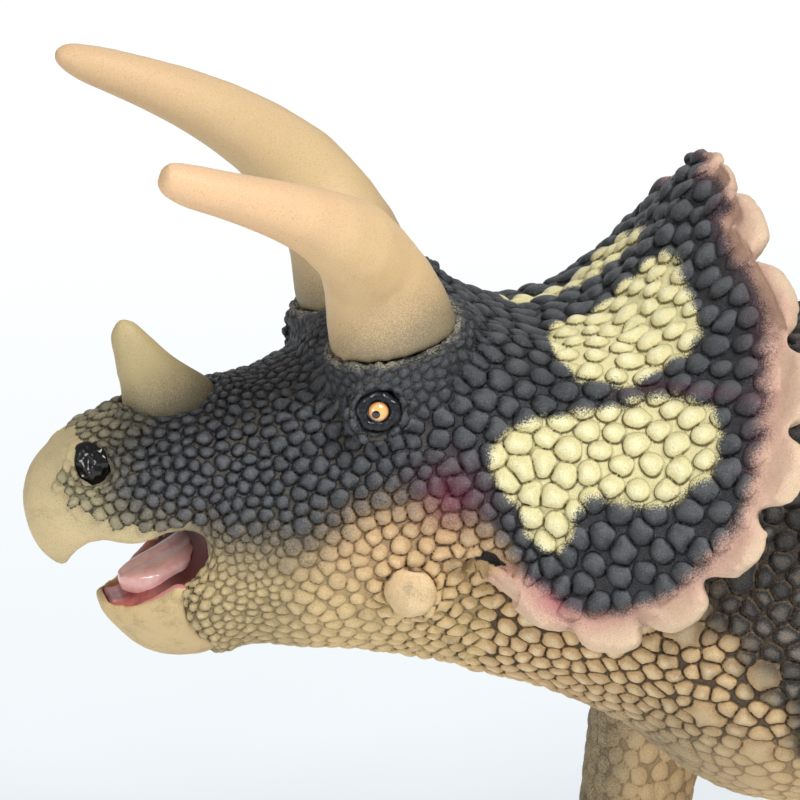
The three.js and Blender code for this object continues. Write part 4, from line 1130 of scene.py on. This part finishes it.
mouth = {
    "beakGrow": 0.12, "beakVoxel": 0.36, "beakRounds": 8, "liningGrow": 0.3, "voxel": 0.3, "rounds": 10,
    "tongueRounds": 14, "furrow": 0.3, "furrowWidth": 1.6, "tongueDrop": 1.3, "tongueDeep": 0.7,
    "tipDrop": 1.3, "lipRise": 1.1, "lipAt": 8.5, "lipWidth": 3.5, "sag": 0.3, "sideSag": 0.5,
}


def beakPaint():
    made = Finish("lower_beak_paint", Roughness=0.45, Specular_IOR_Level=0.4)
    place, step = made.place(), made.step
    speck = made.grain(place, 0.2, 2, 0.6)
    mottle = made.grain(place, 3, 3, 0.55)
    lip = step(made.field("lip") + (speck - 0.5) * 0.6, 0.2, 0.9)
    worn = step(mottle + (speck - 0.5) * 0.4, 0.45, 0.75)
    color = made.blend((214, 187, 138), ((176, 154, 108), worn), ((140, 112, 70), step(speck, 0.64, 0.8) * 0.4),
                       ("lip", lip))
    made.feed("Base Color", color)
    made.feed("Roughness", 0.5 - 0.35 * lip)
    made.bump(made.grain(place, 0.35, 3, 0.6), 0.35, 0.08)
    return made.material


def lowerLip(points):
    # how far the lip drops towards the tip of the lower beak
    along = points[:, 0] - lipTip
    drop = mouth["tipDrop"] * (1 - blendStep(1, 6, along))
    drop = drop - mouth["lipRise"] * hill((along - mouth["lipAt"], mouth["lipWidth"]))
    return drop * blendStep(60, 68, points[:, 2])


lowerBeak, _ = remeshedNode("lower_beak", mouth["beakGrow"], mouth["beakVoxel"], mouth["beakRounds"])
points, normals = readBoth(lowerBeak)
lipTip = points[:, 0].min()
points[:, 2] -= lowerLip(points)
writePoints(lowerBeak, points)
writeField(lowerBeak, "lip", blendStep(0.2, 0.9, normals[:, 2]) * blendStep(64, 68, points[:, 2]))
finishPiece(lowerBeak, "lower_beak_skin", beakPaint(), "beak", "lower_beak")

lining, _ = remeshedNode("mouth_lining", mouth["liningGrow"], mouth["voxel"], mouth["rounds"])
points = readPoints(lining)
low = blendStep(-72, -69, -points[:, 2]) * blendStep(-27, -22, -points[:, 0])
sag = mouth["sag"] + mouth["sideSag"] * blendStep(2.5, 5, np.abs(points[:, 1]))
points[:, 2] -= low * sag + lowerLip(points)
writePoints(lining, points)
# the lining darkens towards the back of the mouth: painted shade
writeField(lining, "deep", blendStep(13.5, 19, points[:, 0]))
liningPaint = glossy("mouth_wet", (190, 102, 97), (140, 62, 60), 0.3, 2.5, 0.5)
finishPiece(lining, "mouth_lining_skin", liningPaint, "mouth", "mouth_lining")

tongue, _ = remeshedNode("tongue", 0, mouth["voxel"], mouth["tongueRounds"])
points, normals = readBoth(tongue)
furrow = mouth["furrow"] * hill((points[:, 1], mouth["furrowWidth"])) * blendStep(0.2, 0.8, normals[:, 2])
points = points - normals * furrow[:, None]
points[:, 2] -= mouth["tongueDrop"] * blendStep(-0.1, 0.8, -normals[:, 2])
writePoints(tongue, points)
# the tongue darkens towards the back of the mouth: painted shade
writeField(tongue, "deep", mouth["tongueDeep"] * blendStep(17.5, 21.5, points[:, 0]))
tonguePaint = glossy("tongue_wet", (255, 206, 200), (244, 178, 174), 0.2, 2.0, 0.9)
finishPiece(tongue, "tongue_skin", tonguePaint, "mouth", "tongue")
say("mouth made")

# ---- eyes, lids and nostrils ----

eyes = {
    "radius": 2.3, "place": (41.1, 17.8, 92.6), "axis": (-0.10, 0.97, 0.20), "bulge": 0.28,
    "iris": (1.0, 0.6, 1.08), "pupil": (-0.35, 0, -0.28),
    "lidMajor": 1.78, "lidMinor": 0.66, "lidStretch": (1.14, 0.98, 1.0), "lidOut": 1.3, "lidBumps": 0.42,
    "holeRadius": 2.6, "holeStretch": (1.0, 1.12, 0.45), "holeOut": 5.0, "holeAxis": (-0.45, 0.85, 0.2),
    "holeBumps": 0.5,
}


def eyeFinish():
    made = Finish("eye_paint", Roughness=0.16, Specular_IOR_Level=0.6, Coat_Weight=1.0, Coat_Roughness=0.03)
    place, ring = made.place(), made.field("iris")
    speck = made.grain(place, 0.3, 2, 0.6)
    color = made.blend((250, 194, 122), ((206, 124, 52), made.step(ring + (speck - 0.5) * 0.3, 0.8, 1.2)),
                       ("black", made.step(ring, 1.14, 1.24)))
    made.feed("Base Color", made.blend("pupil", (color, made.step(made.field("pupil"), 0.5, 0.58))))
    made.bump(made.grain(place, 0.5, 2, 0.5), 0.1, 0.02)
    return made.material


def darkWet(name, main, edge, coat):
    made = Finish(name, Roughness=0.25, Specular_IOR_Level=0.22, Coat_Weight=coat, Coat_Roughness=0.06)
    place = made.place()
    speck = made.grain(place, 0.6, 3, 0.65)
    made.feed("Base Color", made.blend(main, (edge, made.step(speck, 0.45, 0.75))))
    made.feed("Roughness", 0.5 - 0.4 * coat + 0.2 * speck)
    made.bump(made.grain(place, 0.9, 2, 0.5), 0.28, 0.12)
    return made.material


eyePaint = eyeFinish()
lidPaint = darkWet("lid_paint", (22, 23, 27), (46, 50, 56), 0.35)
holePaint = darkWet("nostril_paint", (4, 4, 4), (20, 12, 8), 0.7)


def stand(obj, centre, axis, offset=0.0):
    # stands a piece made round the origin on its place, its z along axis
    turn = np.array(Vector(axis).to_track_quat("Z", "Y").to_matrix())
    points = readPoints(obj)
    points[:, 0] -= figure["beakTip"]
    place = np.array(centre) + np.array(Vector(axis).normalized()) * offset
    writePoints(obj, points @ turn.T + place)


def roughen(obj, height, sizes, seed, share):
    # two sizes of small bumps
    points, normals = readBoth(obj)
    bumps = lumps(points, sizes[0], seed) - 0.5 + share * (lumps(points, sizes[1], seed + 1) - 0.5)
    writePoints(obj, points + normals * (height * bumps)[:, None])


def addEye(side, hand):
    def mirrored(place):
        return (place[0], place[1] * hand, place[2])

    centre, axis = mirrored(eyes["place"]), mirrored(eyes["axis"])
    deselect()
    bpy.ops.mesh.primitive_uv_sphere_add(segments=48, ring_count=32, radius=eyes["radius"] * mm)
    ball = bpy.context.active_object
    modify(ball, "SUBSURF", levels=1, render_levels=1)
    points = readPoints(ball)
    points[:, 2] += eyes["bulge"] * blendStep(0.72, 1.0, points[:, 2] / eyes["radius"])
    writePoints(ball, points)
    stand(ball, centre, axis)
    points = readPoints(ball)
    middle = np.array(centre) + np.array(Vector(axis).normalized()) * eyes["radius"]
    writeField(ball, "iris", np.linalg.norm((points - middle) * np.array(eyes["iris"]), axis=1))
    writeField(ball, "pupil", np.linalg.norm(points - middle - np.array(eyes["pupil"]), axis=1))
    finishPiece(ball, f"{side}_eyeball", eyePaint, "eye", f"{side}_eye")

    deselect()
    bpy.ops.mesh.primitive_torus_add(major_segments=72, minor_segments=20, major_radius=eyes["lidMajor"] * mm,
                                     minor_radius=eyes["lidMinor"] * mm)
    lids = bpy.context.active_object
    meshEdit(lids, (bpy.ops.transform.resize, {"value": eyes["lidStretch"]}))
    stand(lids, centre, axis, eyes["lidOut"])
    roughen(lids, eyes["lidBumps"], (0.9, 0.45), 31, 0.5)
    finishPiece(lids, f"{side}_lids", lidPaint, "skin")

    deselect()
    bpy.ops.mesh.primitive_ico_sphere_add(subdivisions=5, radius=eyes["holeRadius"] * mm)
    hole = bpy.context.active_object
    meshEdit(hole, (bpy.ops.transform.resize, {"value": eyes["holeStretch"]}))
    nostril = (spot["nostril"][0], eyes["holeOut"], spot["nostril"][1])
    stand(hole, mirrored(nostril), mirrored(eyes["holeAxis"]))
    roughen(hole, eyes["holeBumps"], (1.1, 0.5), 33, 0.4)
    finishPiece(hole, f"{side}_nostril", holePaint, "skin")


addEye("left", -1)
addEye("right", 1)
say("eyes made")

for obj, replaced in waiting:
    if replaced:
        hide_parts(*replaced)

# ---- floor, light and camera ----

stage = {"floor": 6.0, "under": -0.0002, "sky": 0.3, "aim": (-0.09, 0, 0.085)}      # places and sizes in metres
lamps = {      # where it stands, its watts and its width
    "key_lamp": ((0.35, -0.85, 1.25), 17.5, 0.45), "fill_lamp": ((-1.1, -0.9, 0.5), 5.0, 0.35),
    "back_lamp": ((0.2, 1.2, 1.0), 3.0, 0.8),
}


def stageFinish(name):
    made = Finish(name, Roughness=0.9)
    place = made.place()
    drift = made.grain(place, 900, 1, 0.4)
    made.feed("Base Color", made.blend((0.9, 0.93, 0.95, 1), ((0.95, 0.96, 0.97, 1), drift)))
    deep = made.node("ShaderNodeSeparateXYZ", {}, {0: place}, out="Y")
    paper = made.blend((0.9, 0.96, 0.99, 1), ((1.1, 1.1, 1.1, 1), made.step(deep, 60, 520)))
    glow = made.node("ShaderNodeEmission", {}, {"Color": paper, "Strength": 1.0})
    ray = made.node("ShaderNodeLightPath", out="Is Camera Ray")
    mixed = made.node("ShaderNodeMixShader", {}, {0: ray * 0.8, 1: Wire(made, made.shader.outputs[0]), 2: glow})
    made.tree.links.new(mixed.socket, made.tree.nodes["Material Output"].inputs["Surface"])
    return made.material


deselect()
bpy.ops.mesh.primitive_plane_add(size=stage["floor"], location=(0, 0, stage["under"]))
floor = bpy.context.active_object
floor.name = "floor"
bpy.ops.object.transform_apply(location=True)
floor.data.materials.append(stageFinish("floor_white"))
floor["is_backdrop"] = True

world = bpy.data.worlds.new("studio")
bpy.context.scene.world = world
world.use_nodes = True
links, worldNodes = world.node_tree.links, world.node_tree.nodes
lit, shown = worldNodes["Background"], worldNodes.new("ShaderNodeBackground")      # what gives light, what is seen
for sky, color, strength in ((lit, (0.97, 0.985, 1.0, 1), stage["sky"]), (shown, (0.95, 0.97, 0.99, 1), 1.0)):
    sky.inputs["Color"].default_value = color
    sky.inputs["Strength"].default_value = strength
path, both = worldNodes.new("ShaderNodeLightPath"), worldNodes.new("ShaderNodeMixShader")
for i, socket in enumerate((path.outputs["Is Camera Ray"], lit.outputs[0], shown.outputs[0])):
    links.new(socket, both.inputs[i])
links.new(both.outputs[0], worldNodes["World Output"].inputs["Surface"])


for name, (location, watts, size) in lamps.items():
    deselect()
    bpy.ops.object.light_add(type="AREA", location=location)
    lamp = bpy.context.active_object
    lamp.name = name
    lamp.data.shape = "SQUARE"
    lamp.data.size = size
    lamp.data.energy = watts
    aim = Vector(stage["aim"]) - Vector(location)
    lamp.rotation_euler = aim.to_track_quat("-Z", "Y").to_euler()

camera = {"turn": 13.0, "tilt": 17.5, "away": 600, "aim": (48.1, 0, 87.9), "lens": 216, "seen": (0.01, 20)}
turn, tilt = math.radians(camera["turn"]), math.radians(camera["tilt"])
ahead = Vector((math.sin(turn) * math.cos(tilt), math.cos(turn) * math.cos(tilt), -math.sin(tilt)))
deselect()
bpy.ops.object.camera_add(location=toRow(*camera["aim"]) - ahead * camera["away"] / 1000,
                          rotation=ahead.to_track_quat("-Z", "Y").to_euler())
view = bpy.context.active_object
view.data.lens = camera["lens"]
view.data.sensor_width = 36
view.data.clip_start, view.data.clip_end = camera["seen"]
bpy.context.scene.camera = view
bpy.context.scene.view_settings.view_transform = "Standard"

shownBox = [list(corner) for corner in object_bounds()]
say(f"CAD {cadBox} visual {shownBox}")
